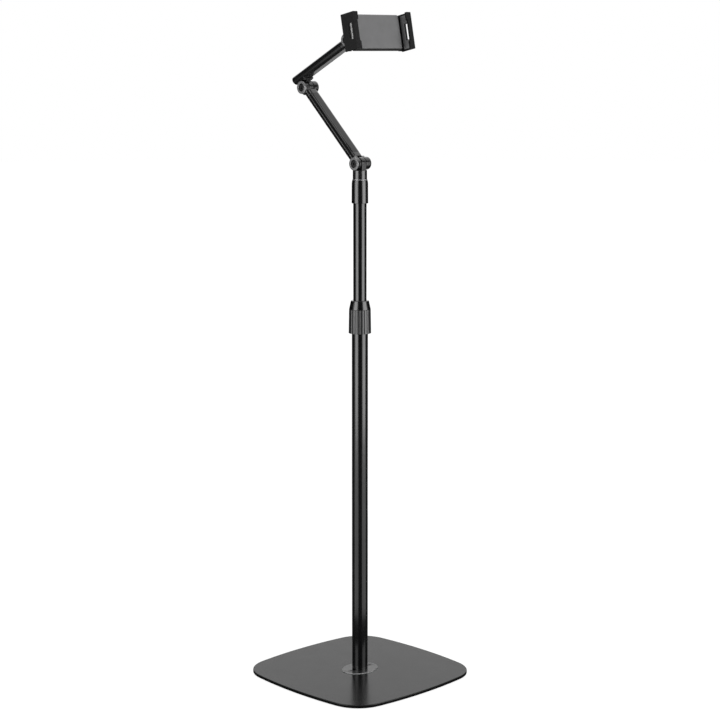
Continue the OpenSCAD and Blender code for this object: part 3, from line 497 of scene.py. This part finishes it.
def surface_grain_group():
    """Fine grain of a coated or moulded surface, as a height."""
    tree, start, end = new_group("surface_grain", dict(Scale="Float", Pebble="Float"), dict(Height="Float"))
    fine = noise(tree, start.outputs["Scale"], 2)
    pebble = new_node(tree, "ShaderNodeTexVoronoi", feature="SMOOTH_F1")
    tree.links.new(own_place(tree), pebble.inputs["Vector"])
    tree.links.new(start.outputs["Scale"], pebble.inputs["Scale"])
    blend = new_node(tree, "ShaderNodeMix", data_type="FLOAT")
    tree.links.new(start.outputs["Pebble"], blend.inputs["Factor"])
    tree.links.new(fine, blend.inputs["A"])
    tree.links.new(pebble.outputs["Distance"], blend.inputs["B"])
    tree.links.new(blend.outputs["Result"], end.inputs["Height"])
    return tree


def drawn_lines_group():
    """Fine lines around a turned or drawn metal piece, as a height."""
    tree, start, end = new_group("drawn_lines", dict(Scale="Float"), dict(Height="Float"))
    lines = noise(tree, start.outputs["Scale"], 5, stretch=(0.05, 0.05, 6.0))
    tree.links.new(lines, end.inputs["Height"])
    return tree


def two_tone_group():
    """A second colour on the part of a piece that lies beyond a place along an axis, used for painted highlights and
    for the cover's black edge.
    """
    tree, start, end = new_group(
        "two_tone",
        dict(Colour="Color", Second="Color", Axis="Vector", From="Float", To="Float", Metal="Float"),
        dict(Colour="Color", Metallic="Float"))
    along = new_node(tree, "ShaderNodeVectorMath", operation="DOT_PRODUCT")
    beyond = new_node(tree, "ShaderNodeMapRange")
    blend = new_node(tree, "ShaderNodeMix", data_type="RGBA")
    metal = new_node(tree, "ShaderNodeMath", operation="MULTIPLY")
    tree.links.new(own_place(tree), along.inputs[0])
    tree.links.new(start.outputs["Axis"], along.inputs[1])
    tree.links.new(along.outputs["Value"], beyond.inputs["Value"])
    tree.links.new(start.outputs["From"], beyond.inputs["From Min"])
    tree.links.new(start.outputs["To"], beyond.inputs["From Max"])
    tree.links.new(beyond.outputs["Result"], blend.inputs["Factor"])
    tree.links.new(start.outputs["Colour"], blend.inputs["A"])
    tree.links.new(start.outputs["Second"], blend.inputs["B"])
    tree.links.new(blend.outputs["Result"], end.inputs["Colour"])
    tree.links.new(beyond.outputs["Result"], metal.inputs[0])
    tree.links.new(start.outputs["Metal"], metal.inputs[1])
    tree.links.new(metal.outputs[0], end.inputs["Metallic"])
    return tree


GROUPS = {}


def shared(name):
    makers = {
        "tone_drift": tone_drift_group, "handling_marks": handling_marks_group,
        "surface_grain": surface_grain_group, "drawn_lines": drawn_lines_group,
        "two_tone": two_tone_group}
    if name not in GROUPS:
        GROUPS[name] = makers[name]()
    return GROUPS[name]


def add_group(tree, name, **values):
    """Node of a shared group with the values of its inputs."""
    node = new_node(tree, "ShaderNodeGroup", node_tree=shared(name))
    for label, value in values.items():
        node.inputs[label].default_value = value
    return node


DRIFT, DRIFT_SCALE = 0.08, 60
MARKS_SCALE = 45
BUMP_DEPTH = 0.2 * MM

# For each slot of the record: its colour, its roughness and how far marks change it, the scale of its grain or its
# lines, how pebbly the grain is, the strength of its bump, and what else sets it apart
FINISHES = {
    "black_powder_coat": dict(colour="black_powder_coat", rough=0.22, marks=0.02, grain=1500, pebble=0.5, bump=0.04,
                              specular=0.27),
    "foam_pad": dict(colour="grip_rubber", rough=0.9, marks=0.05, grain=900, pebble=0.9, bump=0.8, specular=0.2),
    "zinc_steel": dict(colour="bare_metal_and_rim_highlight", rough=0.32, marks=0.08, lines=260, bump=0.12, metallic=1.0),
    "black_steel": dict(colour="black_metal", rough=0.38, marks=0.05, grain=1800, pebble=0.2, bump=0.12),
    # The flange's second colour is a painted highlight: bright grey, not metallic, round the top of its rim
    "black_trim": dict(colour="black_metal", rough=0.30, marks=0.03, grain=1600, pebble=0.3, bump=0.06,
                       specular=0.9, coat=0.25, coat_rough=0.3, second="bare_metal_and_rim_highlight"),
    "black_tube": dict(colour="black_lacquer", rough=0.16, marks=0.015, grain=1400, pebble=0.3, bump=0.01,
                       specular=0.25, coat=0.8, coat_rough=0.14),
    "black_arm": dict(colour="black_metal", rough=0.16, marks=0.015, grain=1600, pebble=0.2, bump=0.03,
                      specular=0.47),
    # The castings' second colour is a painted reflection on the ring faces at their barrels' ends
    "black_casting": dict(colour="black_metal", rough=0.20, marks=0.03, grain=1300, pebble=0.4, bump=0.04,
                          specular=0.45, coat=0.65, coat_rough=0.16, second="ring_face_sheen", metal=0.15),
    "bright_ring": dict(colour="ring_metal", rough=0.42, marks=0.05, lines=300, bump=0.08, metallic=1.0),
    "black_plastic": dict(colour="black_plastic", rough=0.48, marks=0.03, grain=2200, pebble=0.4, bump=0.25,
                          specular=0.22),
    "gloss_black_plastic": dict(colour="black_lacquer", rough=0.18, marks=0.015, grain=1400, pebble=0.3, bump=0.01,
                                specular=0.25, coat=1.0, coat_rough=0.16),
    "grip_rubber": dict(colour="grip_rubber", rough=0.30, marks=0.04, grain=1900, pebble=0.5, bump=0.12,
                        specular=0.65),
    "jaw_rubber": dict(colour="jaw_rubber", rough=0.6, marks=0.04, grain=1700, pebble=0.5, bump=0.30),
    "grey_silicone": dict(colour="grey_front", rough=0.62, marks=0.03, grain=2000, pebble=0.4, bump=0.22),
    "grey_plastic": dict(colour="grey_front", rough=0.45, marks=0.03, grain=2200, pebble=0.4, bump=0.20,
                         second="black_plastic"),
    "white_nylon": dict(colour="white_nylon", rough=0.45, marks=0.04, grain=1200, pebble=0.3, bump=0.12),
}
FINISH_MADE = {}


def ring_sheen_ends():
    """The castings' barrels end in a painted reflection: lighter grey on their ring faces."""
    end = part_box("base_pivot_fork")[0].x
    begin, full = RING_SHEEN_RIM
    return ACROSS, end + begin, end + full


def dark_lower_edge():
    """The holder's cover is black from the pad's lower edge down."""
    edge = min(HOLDER_UP.dot(v.co) for v in NODES["front_pad"].data.vertices)
    return HOLDER_UP, edge, edge - DARK_EDGE


def rim_highlight_band():
    """The flange has a painted highlight round the top of its rim."""
    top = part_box("pole_flange")[1].z
    begin, full = RIM_HIGHLIGHT_SPAN
    return -UP, begin - top, full - top


# Where the second colour of a slot lies: an axis, and the places along it where it begins and is full
SECOND_TONES = {"black_casting": ring_sheen_ends, "grey_plastic": dark_lower_edge, "black_trim": rim_highlight_band}


def finish(slot):
    """Material of a slot of the record, made once."""
    if slot in FINISH_MADE:
        return FINISH_MADE[slot]
    look = FINISHES[slot]
    colours = bpy.context.scene.stand_colours
    material = bpy.data.materials.new(slot)
    material.use_nodes = True
    tree = material.node_tree
    shader = tree.nodes["Principled BSDF"]

    colour = (*getattr(colours, look["colour"]), 1)
    tone = add_group(tree, "tone_drift", Colour=colour, Spread=DRIFT, Scale=DRIFT_SCALE)
    tree.links.new(tone.outputs["Colour"], shader.inputs["Base Color"])
    # The second colour is a painted highlight on the castings' ring faces and the flange's rim, and the cover's
    # black lower edge
    if "second" in look:
        axis, start, end = SECOND_TONES[slot]()
        colour = (*getattr(colours, look["second"]), 1)
        second = add_group(
            tree, "two_tone", Second=colour, Axis=axis, From=start, To=end, Metal=look.get("metal", 0))
        tree.links.new(tone.outputs["Colour"], second.inputs["Colour"])
        tree.links.new(second.outputs["Colour"], shader.inputs["Base Color"])
        tree.links.new(second.outputs["Metallic"], shader.inputs["Metallic"])

    marks = add_group(tree, "handling_marks", Roughness=look["rough"], Spread=look["marks"], Scale=MARKS_SCALE)
    tree.links.new(marks.outputs["Roughness"], shader.inputs["Roughness"])

    bump = new_node(tree, "ShaderNodeBump")
    bump.inputs["Strength"].default_value = look["bump"]
    bump.inputs["Distance"].default_value = BUMP_DEPTH
    if "lines" in look:
        grain = add_group(tree, "drawn_lines", Scale=look["lines"])
    else:
        grain = add_group(tree, "surface_grain", Scale=look["grain"], Pebble=look["pebble"])
    tree.links.new(grain.outputs["Height"], bump.inputs["Height"])
    tree.links.new(bump.outputs["Normal"], shader.inputs["Normal"])

    shader.inputs["Metallic"].default_value = look.get("metallic", 0)
    shader.inputs["Specular IOR Level"].default_value = look.get("specular", 0.5)
    if "coat" in look:
        shader.inputs["Coat Weight"].default_value = look["coat"]
        shader.inputs["Coat Roughness"].default_value = look["coat_rough"]
    FINISH_MADE[slot] = material
    return material


# Pieces

def bowed_square(bm, half, corner, bow, z):
    """Outline of the base: each side is a shallow arc, and a corner arc joins it to the next one."""
    chord = half - corner / 2
    side_radius = (chord * chord + bow * bow) / (2 * bow)
    side_centre = half - side_radius
    corner_centre = (side_centre + math.sqrt(2 * (side_radius - corner) ** 2 - side_centre ** 2)) / 2
    turn = math.atan2(corner_centre, corner_centre - side_centre)
    for quarter in range(4):
        face = Matrix.Rotation(-quarter * math.pi / 2, 4, "Z")
        start = Vector((-side_radius * math.sin(turn), side_centre + side_radius * math.cos(turn), z))
        vert = bm.verts.new(face @ start)
        vert = arc(bm, vert, face @ Vector((0, side_centre, z)), -2 * turn, SIDE_STEPS)
        arc(bm, vert, face @ Vector((corner_centre, corner_centre, z)), 2 * turn - math.pi / 2, CORNER_STEPS)
    merge(bm)


def base_sheet(node, inset, edge):
    """Sheet with the base's outline, between the node's lowest and highest levels."""
    low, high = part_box(node)
    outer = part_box("base_plate")[1].x
    bm = bmesh.new()
    bowed_square(bm, outer - inset, sizes().base_corner - inset, sizes().base_bow, low.z)
    sheet = bmesh.ops.contextual_create(bm, geom=bm.edges[:])["faces"]
    made = bmesh.ops.extrude_face_region(bm, geom=sheet)["geom"]
    bmesh.ops.translate(bm, vec=(0, 0, high.z - low.z), verts=verts_of(made))
    face_out(bm)
    round_edges(bm, edge)
    return set_piece(bm, node)


class FLOORSTAND_OT_base(bpy.types.Operator):
    """Make the base plate, its foam pad and the oval flange"""

    bl_idname = "floor_stand.base"
    bl_label = "Base"

    def execute(self, context):
        base_sheet("base_plate", 0, sizes().base_edge)
        base_sheet("base_pad", sizes().pad_inset, sizes().fine_edge)
        self.flange()
        soften("base_bolt", sizes().fine_edge)
        soften("pole_plug", sizes().fine_edge)
        return {"FINISHED"}

    def flange(self):
        low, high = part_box("pole_flange")
        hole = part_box("lower_pole")[1].x + FLANGE_PLAY
        facets = sizes().turned_facets
        bm = bmesh.new()
        rims = []
        for half_length, half_width in ((high.x, high.y), (hole, hole)):
            ring = bmesh.ops.create_circle(bm, segments=facets, radius=1)["verts"]
            bmesh.ops.scale(bm, vec=(half_length, half_width, 1), verts=ring)
            bmesh.ops.translate(bm, vec=(0, 0, low.z), verts=ring)
            rims.append([e for e in bm.edges if e.verts[0] in ring])
        tops = [lift_loop(bm, rim, (0, 0, high.z - low.z)) for rim in rims]
        bmesh.ops.bridge_loops(bm, edges=rims[0] + rims[1])
        bmesh.ops.bridge_loops(bm, edges=tops[0] + tops[1])
        face_out(bm)
        round_edges(bm, sizes().flange_edge)
        set_piece(bm, "pole_flange")


class FLOORSTAND_OT_poles(bpy.types.Operator):
    """Make the two poles and the fittings inside them"""

    bl_idname = "floor_stand.poles"
    bl_label = "Poles"

    def execute(self, context):
        for node in ("lower_pole", "upper_pole"):
            low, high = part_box(node)
            bore = high.x - sizes().pole_wall
            bm = turned([(bore, low.z), (high.x, low.z), (high.x, high.z), (bore, high.z)])
            round_edges(bm, sizes().fine_edge)
            set_piece(bm, node)
        for node in ("lock_ferrule", "lock_collet", "upper_pole_bush"):
            soften(node, sizes().fine_edge)
        return {"FINISHED"}


class FLOORSTAND_OT_twist_lock(bpy.types.Operator):
    """Make the twist lock's sleeve and its ribbed grip"""

    bl_idname = "floor_stand.twist_lock"
    bl_label = "Twist lock"

    def execute(self, context):
        soften("lock_nut", sizes().turned_edge, segments=3)
        self.grip()
        return {"FINISHED"}

    def grip(self):
        low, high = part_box("lock_grip")
        outer = high.x
        count = sizes().grip_flutes
        radius, depth = sizes().flute_radius, sizes().flute_depth
        top = sizes().grip_top / 2
        top_scale = top / outer
        bore = top - depth - sizes().grip_skin
        middle = outer + radius - depth
        # Half the angle that one flute takes up on the grip's outside, and half its own arc
        half = math.acos((outer ** 2 + middle ** 2 - radius ** 2) / (2 * outer * middle))
        sweep = math.acos((middle ** 2 + radius ** 2 - outer ** 2) / (2 * middle * radius))
        step = FULL_TURN / count
        bm = bmesh.new()
        vert = bm.verts.new((outer * math.cos(half), outer * math.sin(half), low.z))
        for i in range(count):
            vert = arc(bm, vert, (0, 0, low.z), step - 2 * half, FLUTE_STEPS)
            angle = (i + 1) * step
            centre = (middle * math.cos(angle), middle * math.sin(angle), low.z)
            vert = arc(bm, vert, centre, -2 * sweep, FLUTE_STEPS)
        merge(bm)
        outside = bm.edges[:]
        ring = bmesh.ops.create_circle(bm, segments=sizes().turned_facets, radius=bore)["verts"]
        bmesh.ops.translate(bm, vec=(0, 0, low.z), verts=ring)
        inside = [e for e in bm.edges if e.verts[0] in ring]
        rise = (0, 0, high.z - low.z)
        outside_top = lift_loop(bm, outside, rise)
        inside_top = lift_loop(bm, inside, rise)
        bmesh.ops.scale(
            bm, vec=(top_scale, top_scale, 1), verts=list({v for e in outside_top for v in e.verts}))
        bmesh.ops.bridge_loops(bm, edges=outside + inside)
        bmesh.ops.bridge_loops(bm, edges=outside_top + inside_top)
        face_out(bm)
        round_edges(bm, sizes().fine_edge, 2, sharper_than=50)
        set_piece(bm, "lock_grip")


class FLOORSTAND_OT_swivel(bpy.types.Operator):
    """Make the coupling, the bright ring and the turning neck"""

    bl_idname = "floor_stand.swivel"
    bl_label = "Swivel"

    def execute(self, context):
        soften("top_coupling", sizes().turned_edge, segments=3)
        soften("swivel_ring", sizes().fine_edge)
        cast("swivel_neck")
        for node in ("swivel_bolt", "swivel_spring_washer"):
            soften(node, sizes().fine_edge)
        return {"FINISHED"}


class FLOORSTAND_OT_arms(bpy.types.Operator):
    """Make the flat oval arm tubes and the cap on the upper one"""

    bl_idname = "floor_stand.arms"
    bl_label = "Arms"

    def execute(self, context):
        size = sizes()
        length = (ELBOW - BASE_PIVOT).length
        self.tube("lower_arm_tube", LOWER_ARM, size.fork_reach, length - size.fork_reach)
        upper = (
            Matrix.Translation(ELBOW)
            @ Matrix.Rotation(-size.upper_arm_rise, 4, "X")
            @ Matrix.Translation((0, 0, size.elbow_offset))
            @ Matrix.Rotation(math.pi / 2, 4, "X"))
        self.tube(
            "upper_arm_tube", upper, size.cap_thickness - size.tail_length,
            size.upper_arm_length - size.fork_reach)
        soften("upper_arm_cap", size.cap_edge, segments=3)
        return {"FINISHED"}

    def tube(self, node, place, start, end):
        size = sizes()
        bm = bmesh.new()
        outer = flat_oval(bm, size.arm_width, size.arm_thickness, start)
        inner = flat_oval(bm, size.arm_width - 2 * size.arm_wall, size.arm_thickness - 2 * size.arm_wall, start)
        rise = (0, 0, end - start)
        outer_top = lift_loop(bm, outer, rise)
        inner_top = lift_loop(bm, inner, rise)
        bmesh.ops.bridge_loops(bm, edges=outer + inner)
        bmesh.ops.bridge_loops(bm, edges=outer_top + inner_top)
        face_out(bm)
        round_edges(bm, size.fine_edge)
        bmesh.ops.transform(bm, matrix=place, verts=bm.verts)
        set_piece(bm, node)


class FLOORSTAND_OT_knuckles(bpy.types.Operator):
    """Make the cast forks and their bolts, nuts and washers"""

    bl_idname = "floor_stand.knuckles"
    bl_label = "Knuckles"

    def execute(self, context):
        for node in ("base_pivot_fork", "elbow_fork", "head_fork", "elbow_bracket"):
            cast(node)
        for pivot in ("base_pivot", "elbow_pivot", "head_pivot"):
            for fastener in ("bolt", "nut", "washers"):
                soften(f"{pivot}_{fastener}", sizes().fine_edge)
        soften("bracket_rivets", sizes().fine_edge)
        return {"FINISHED"}


class FLOORSTAND_OT_ball_head(bpy.types.Operator):
    """Make the ball head"""

    bl_idname = "floor_stand.ball_head"
    bl_label = "Ball head"

    def execute(self, context):
        cast("head_knuckle")
        soften("ball_seat", sizes().fine_edge)
        soften("ball_ring_nut", sizes().turned_edge, segments=3)
        return {"FINISHED"}


class FLOORSTAND_OT_holder(bpy.types.Operator):
    """Make the holder's housing, cover, pad, screws and end bumpers"""

    bl_idname = "floor_stand.holder"
    bl_label = "Holder"

    def execute(self, context):
        soften("rear_housing", sizes().moulded_edge, segments=3)
        soften("front_cover", sizes().moulded_edge, segments=3)
        soften("front_pad", sizes().fine_edge, segments=3)
        soften("housing_screws", sizes().fine_edge)
        for side, name in ((-1, "left_end_bumper"), (1, "right_end_bumper")):
            self.bumper(side, name)
        return {"FINISHED"}

    def bumper(self, side, name):
        """Soft block on an end of the holder's body, which a slot of a jaw shows."""
        size = sizes()
        cover = [v.co for v in NODES["front_cover"].data.vertices]
        end = max(v.x for v in cover)
        face = max(HOLDER_FRONT.dot(v) for v in cover)
        levels = [HOLDER_UP.dot(v) for v in cover]
        centre = Vector((
            side * (end + size.bumper_reach / 2),
            -face + size.bumper_inset + size.bumper_depth / 2,
            (min(levels) + max(levels)) / 2))
        turn = Matrix((ACROSS, -HOLDER_FRONT, HOLDER_UP)).transposed().to_4x4()
        span = Matrix.Diagonal((size.bumper_reach, size.bumper_depth, size.bumper_height, 1))
        bm = bmesh.new()
        bmesh.ops.create_cube(bm, size=1, matrix=turn @ Matrix.Translation(centre) @ span)
        round_edges(bm, size.moulded_edge)
        face_out(bm)
        add_piece(bm, name, BODY_OF["front_cover"], "white_nylon")


class FLOORSTAND_OT_jaws(bpy.types.Operator):
    """Make the two jaws, their linings and their springs"""

    bl_idname = "floor_stand.jaws"
    bl_label = "Jaws"

    def execute(self, context):
        for side in ("left", "right"):
            soften(f"{side}_jaw", sizes().moulded_edge, segments=3)
            soften(f"{side}_jaw_pad", sizes().fine_edge)
            self.spring(side)
        return {"FINISHED"}

    def spring(self, side):
        """Winds a jaw spring along the length of its CAD node."""
        size = sizes()
        node = f"{side}_jaw_spring"
        low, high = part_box(node)
        turns = size.spring_turns
        steps = turns * COIL_STEPS
        wire = size.spring_wire
        length = high.x - low.x
        radius = size.spring_diameter / 2
        bm = bmesh.new()
        ring = bmesh.ops.create_circle(bm, segments=WIRE_FACETS, radius=wire / 2)["verts"]
        bmesh.ops.translate(bm, vec=(wire / 2, radius, 0), verts=ring)
        start = bm.edges[:]
        wound = bmesh.ops.spin(
            bm, geom=ring + start, cent=(0, 0, 0), axis=ACROSS, angle=FULL_TURN * turns,
            dvec=((length - wire) / steps, 0, 0), steps=steps, use_duplicate=False)
        for loop in (start, edges_of(wound["geom_last"])):
            bmesh.ops.contextual_create(bm, geom=loop)
        face_out(bm)
        middle = (low + high) / 2
        bmesh.ops.translate(bm, vec=(low.x, middle.y, middle.z), verts=bm.verts)
        piece = set_piece(bm, node, crease=80)
        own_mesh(piece)


SENSOR_WIDTH, VIEW_END = 36, 100
FLOOR_RADIUS, FLOOR_FACETS = 14, 96
FLOOR_PAINT = (0.8, 0.8, 0.8, 1)
FLOOR_SHADE = 0.25  # share of the floor's own shading that is seen, so that shadows show on it
FLOOR_GLOW = {"From Min": 1.0, "From Max": 4.0, "To Min": 0.9, "To Max": 1.0}  # by the distance from the stand
CARD_PAINT = (0.004, 0.004, 0.004, 1)


class FLOORSTAND_OT_stage(bpy.types.Operator):
    """Set the camera, the floor and the studio light"""

    bl_idname = "floor_stand.stage"
    bl_label = "Stage"

    def execute(self, context):
        context.scene.view_settings.view_transform = "Standard"
        self.camera(context)
        self.floor()
        self.sky(context)
        self.softboxes(context)
        self.dark_cards(context)
        return {"FINISHED"}

    def camera(self, context):
        settings = context.scene.stand_stage
        camera = bpy.data.objects.new("camera", bpy.data.cameras.new("camera"))
        camera.data.lens = settings.camera_lens
        camera.data.sensor_width = SENSOR_WIDTH
        camera.data.clip_end = VIEW_END
        camera.location = settings.camera_place
        camera.rotation_euler = settings.camera_turn
        context.scene.collection.objects.link(camera)
        context.scene.camera = camera

    def seen_directly(self, tree):
        """1 for rays that see the background: from the camera, in a reflection or through something clear."""
        path = new_node(tree, "ShaderNodeLightPath")
        seen = path.outputs["Is Camera Ray"]
        for kind in ("Is Glossy Ray", "Is Transmission Ray"):
            either = new_node(tree, "ShaderNodeMath", operation="MAXIMUM")
            tree.links.new(seen, either.inputs[0])
            tree.links.new(path.outputs[kind], either.inputs[1])
            seen = either.outputs[0]
        return seen

    def floor(self):
        material = bpy.data.materials.new("pale_floor")
        material.use_nodes = True
        tree = material.node_tree
        tree.nodes.clear()
        paint = new_node(tree, "ShaderNodeBsdfDiffuse")
        paint.inputs["Color"].default_value = FLOOR_PAINT
        glow = new_node(tree, "ShaderNodeEmission")
        both = new_node(tree, "ShaderNodeAddShader")
        dimmed = new_node(tree, "ShaderNodeMixShader")
        pick = new_node(tree, "ShaderNodeMixShader")
        out = new_node(tree, "ShaderNodeOutputMaterial")
        dimmed.inputs["Fac"].default_value = FLOOR_SHADE
        distance = new_node(tree, "ShaderNodeVectorMath", operation="LENGTH")
        far = new_node(tree, "ShaderNodeMapRange")
        for socket, value in FLOOR_GLOW.items():
            far.inputs[socket].default_value = value
        tree.links.new(own_place(tree), distance.inputs[0])
        tree.links.new(distance.outputs["Value"], far.inputs["Value"])
        tree.links.new(far.outputs["Result"], glow.inputs["Strength"])
        tree.links.new(paint.outputs[0], dimmed.inputs[2])
        tree.links.new(glow.outputs[0], both.inputs[0])
        tree.links.new(dimmed.outputs[0], both.inputs[1])
        tree.links.new(self.seen_directly(tree), pick.inputs["Fac"])
        tree.links.new(paint.outputs[0], pick.inputs[1])
        tree.links.new(both.outputs[0], pick.inputs[2])
        tree.links.new(pick.outputs[0], out.inputs["Surface"])
        bm = bmesh.new()
        bmesh.ops.create_circle(bm, cap_ends=True, segments=FLOOR_FACETS, radius=FLOOR_RADIUS)
        floor = new_object(bm, "floor", material)

    def sky(self, context):
        world = bpy.data.worlds.new("studio")
        world.use_nodes = True
        tree = world.node_tree
        tree.nodes.clear()
        ambient = new_node(tree, "ShaderNodeBackground")
        ambient.inputs["Strength"].default_value = context.scene.stand_stage.ambient_level
        white = new_node(tree, "ShaderNodeBackground")
        for background in (ambient, white):
            background.inputs["Color"].default_value = (1, 1, 1, 1)
        pick = new_node(tree, "ShaderNodeMixShader")
        out = new_node(tree, "ShaderNodeOutputWorld")
        tree.links.new(self.seen_directly(tree), pick.inputs["Fac"])
        tree.links.new(ambient.outputs[0], pick.inputs[1])
        tree.links.new(white.outputs[0], pick.inputs[2])
        tree.links.new(pick.outputs[0], out.inputs["Surface"])
        context.scene.world = world

    def bearing(self, context, degrees):
        """Level direction at an angle from the camera's side of the stand, to the right of it when positive."""
        towards = Vector((*context.scene.stand_stage.camera_place[:2], 0)).normalized()
        return Matrix.Rotation(math.radians(degrees), 3, "Z") @ towards

    def softboxes(self, context):
        """Two boxes beside the camera, a strip further round, one overhead and a fill that gives no highlight."""
        settings = context.scene.stand_stage
        # Each has its bearing, its distance, its width, its lowest and highest point and its brightness
        for name, bearing, distance, width, low, high, level in (
                ("left_box", -48.5, 1.75, 1.2, 0.02, 1.33, settings.box_level),
                ("right_box", 60, 1.75, 1.35, 0.02, 1.33, settings.box_level),
                ("rim_box", -78, 1.75, 0.25, 1.1, 1.33, settings.box_level),
                ("fill_box", 0, 2.5, 2.5, 1.4, 3.0, settings.fill_level)):
            way = self.bearing(context, bearing)
            box = self.lamp(name, way * distance + UP * (low + high) / 2, -way, width, high - low, level)
            box.visible_glossy = name != "fill_box"
        self.lamp("top_box", Vector((0, 0, 3.2)), -UP, 2.5, 2.5, settings.top_level)

    def dark_cards(self, context):
        """Black cards between and around the softboxes that only reflections see, each a profile swept round; the
        ring round the base's foot is painted shade.
        """
        material = bpy.data.materials.new("black_card")
        material.use_nodes = True
        shader = material.node_tree.nodes["Principled BSDF"]
        shader.inputs["Base Color"].default_value = CARD_PAINT
        shader.inputs["Roughness"].default_value = 1
        lift, low = 2 * MM, 0.5 * MM
        # Each has the bearings of its two ends, and its profile as pairs of a distance and a height
        for name, start, end, profile in (
                # Painted shade: a black ring round the base, seen only in reflections, for the shade on the floor
                # beside the base
                ("foot_shade_card", 0, 360, ((0.12, low), (0.32, low))),
                ("front_card", -22, 30, ((0.25, lift), (4, lift), (4, 2.5))),
                ("right_card", 93, 150, ((0.25, lift), (6, lift), (6, 2.8))),
                ("right_back_card", 150, 158, ((0.25, lift), (6, lift), (6, 1))),
                ("near_card", 158, 174, ((0.25, lift), (1.05, lift))),
                ("far_card", 158, 174, ((1.8, lift), (6, lift), (6, 1))),
                ("left_back_card", 174, 210, ((0.25, lift), (6, lift), (6, 1))),
                ("left_card", -150, -82, ((0.25, lift), (6, lift), (6, 2.8))),
                ("dome_card", -140, 100, ((1.72, 1.42), (1.5, 2.2), (1, 2.9)))):
            bm = bmesh.new()
            way = self.bearing(context, start)
            corners = [bm.verts.new(way * radius + UP * height) for radius, height in profile]
            edges = [bm.edges.new(pair) for pair in zip(corners, corners[1:])]
            bmesh.ops.spin(
                bm, geom=corners + edges, cent=(0, 0, 0), axis=UP, angle=math.radians(end - start),
                steps=CARD_STEPS, use_duplicate=False)
            card = new_object(bm, name, material)
            card.visible_camera = False
            card.visible_diffuse = False
            card.visible_shadow = False
            card.visible_transmission = False

    def lamp(self, name, place, way, width, height, level):
        light = bpy.data.lights.new(name, "AREA")
        light.shape = "RECTANGLE"
        light.size = width
        light.size_y = height
        light.energy = level * math.pi * width * height  # the power of a flat lamp of this brightness
        lamp = bpy.data.objects.new(name, light)
        lamp.location = place
        lamp.rotation_euler = way.to_track_quat("-Z", "Y").to_euler()
        lamp.visible_camera = False
        bpy.context.scene.collection.objects.link(lamp)
        return lamp


PIECE_OPERATORS = (
    FLOORSTAND_OT_base, FLOORSTAND_OT_poles, FLOORSTAND_OT_twist_lock, FLOORSTAND_OT_swivel,
    FLOORSTAND_OT_arms, FLOORSTAND_OT_knuckles, FLOORSTAND_OT_ball_head, FLOORSTAND_OT_holder,
    FLOORSTAND_OT_jaws, FLOORSTAND_OT_stage)
SETTINGS = {"stand_sizes": StandSizes, "stand_colours": StandColours, "stand_stage": StageSettings}


class FLOORSTAND_PT_pieces(bpy.types.Panel):
    """Pieces of the floor stand and what can be changed on them"""

    bl_idname = "FLOORSTAND_PT_pieces"
    bl_label = "Floor stand"
    bl_space_type = "VIEW_3D"
    bl_region_type = "UI"
    bl_category = "Floor Stand"

    def draw(self, context):
        for operator in PIECE_OPERATORS:
            self.layout.operator(operator.bl_idname)
        for name, group in SETTINGS.items():
            column = self.layout.column(align=True)
            for prop in group.__annotations__:
                column.prop(getattr(context.scene, name), prop)


CLASSES = (*SETTINGS.values(), *PIECE_OPERATORS, FLOORSTAND_PT_pieces)


def register():
    for cls in CLASSES:
        bpy.utils.register_class(cls)
    for name, group in SETTINGS.items():
        setattr(bpy.types.Scene, name, PointerProperty(type=group))


def unregister():
    for name in SETTINGS:
        delattr(bpy.types.Scene, name)
    for cls in reversed(CLASSES):
        bpy.utils.unregister_class(cls)


def main():
    register()
    bpy.ops.floor_stand.stage()
    bpy.ops.floor_stand.base()
    bpy.ops.floor_stand.poles()
    bpy.ops.floor_stand.twist_lock()
    bpy.ops.floor_stand.swivel()
    bpy.ops.floor_stand.arms()
    bpy.ops.floor_stand.knuckles()
    bpy.ops.floor_stand.ball_head()
    bpy.ops.floor_stand.holder()
    bpy.ops.floor_stand.jaws()
    bpy.context.view_layer.update()


if __name__ == "__main__":
    main()
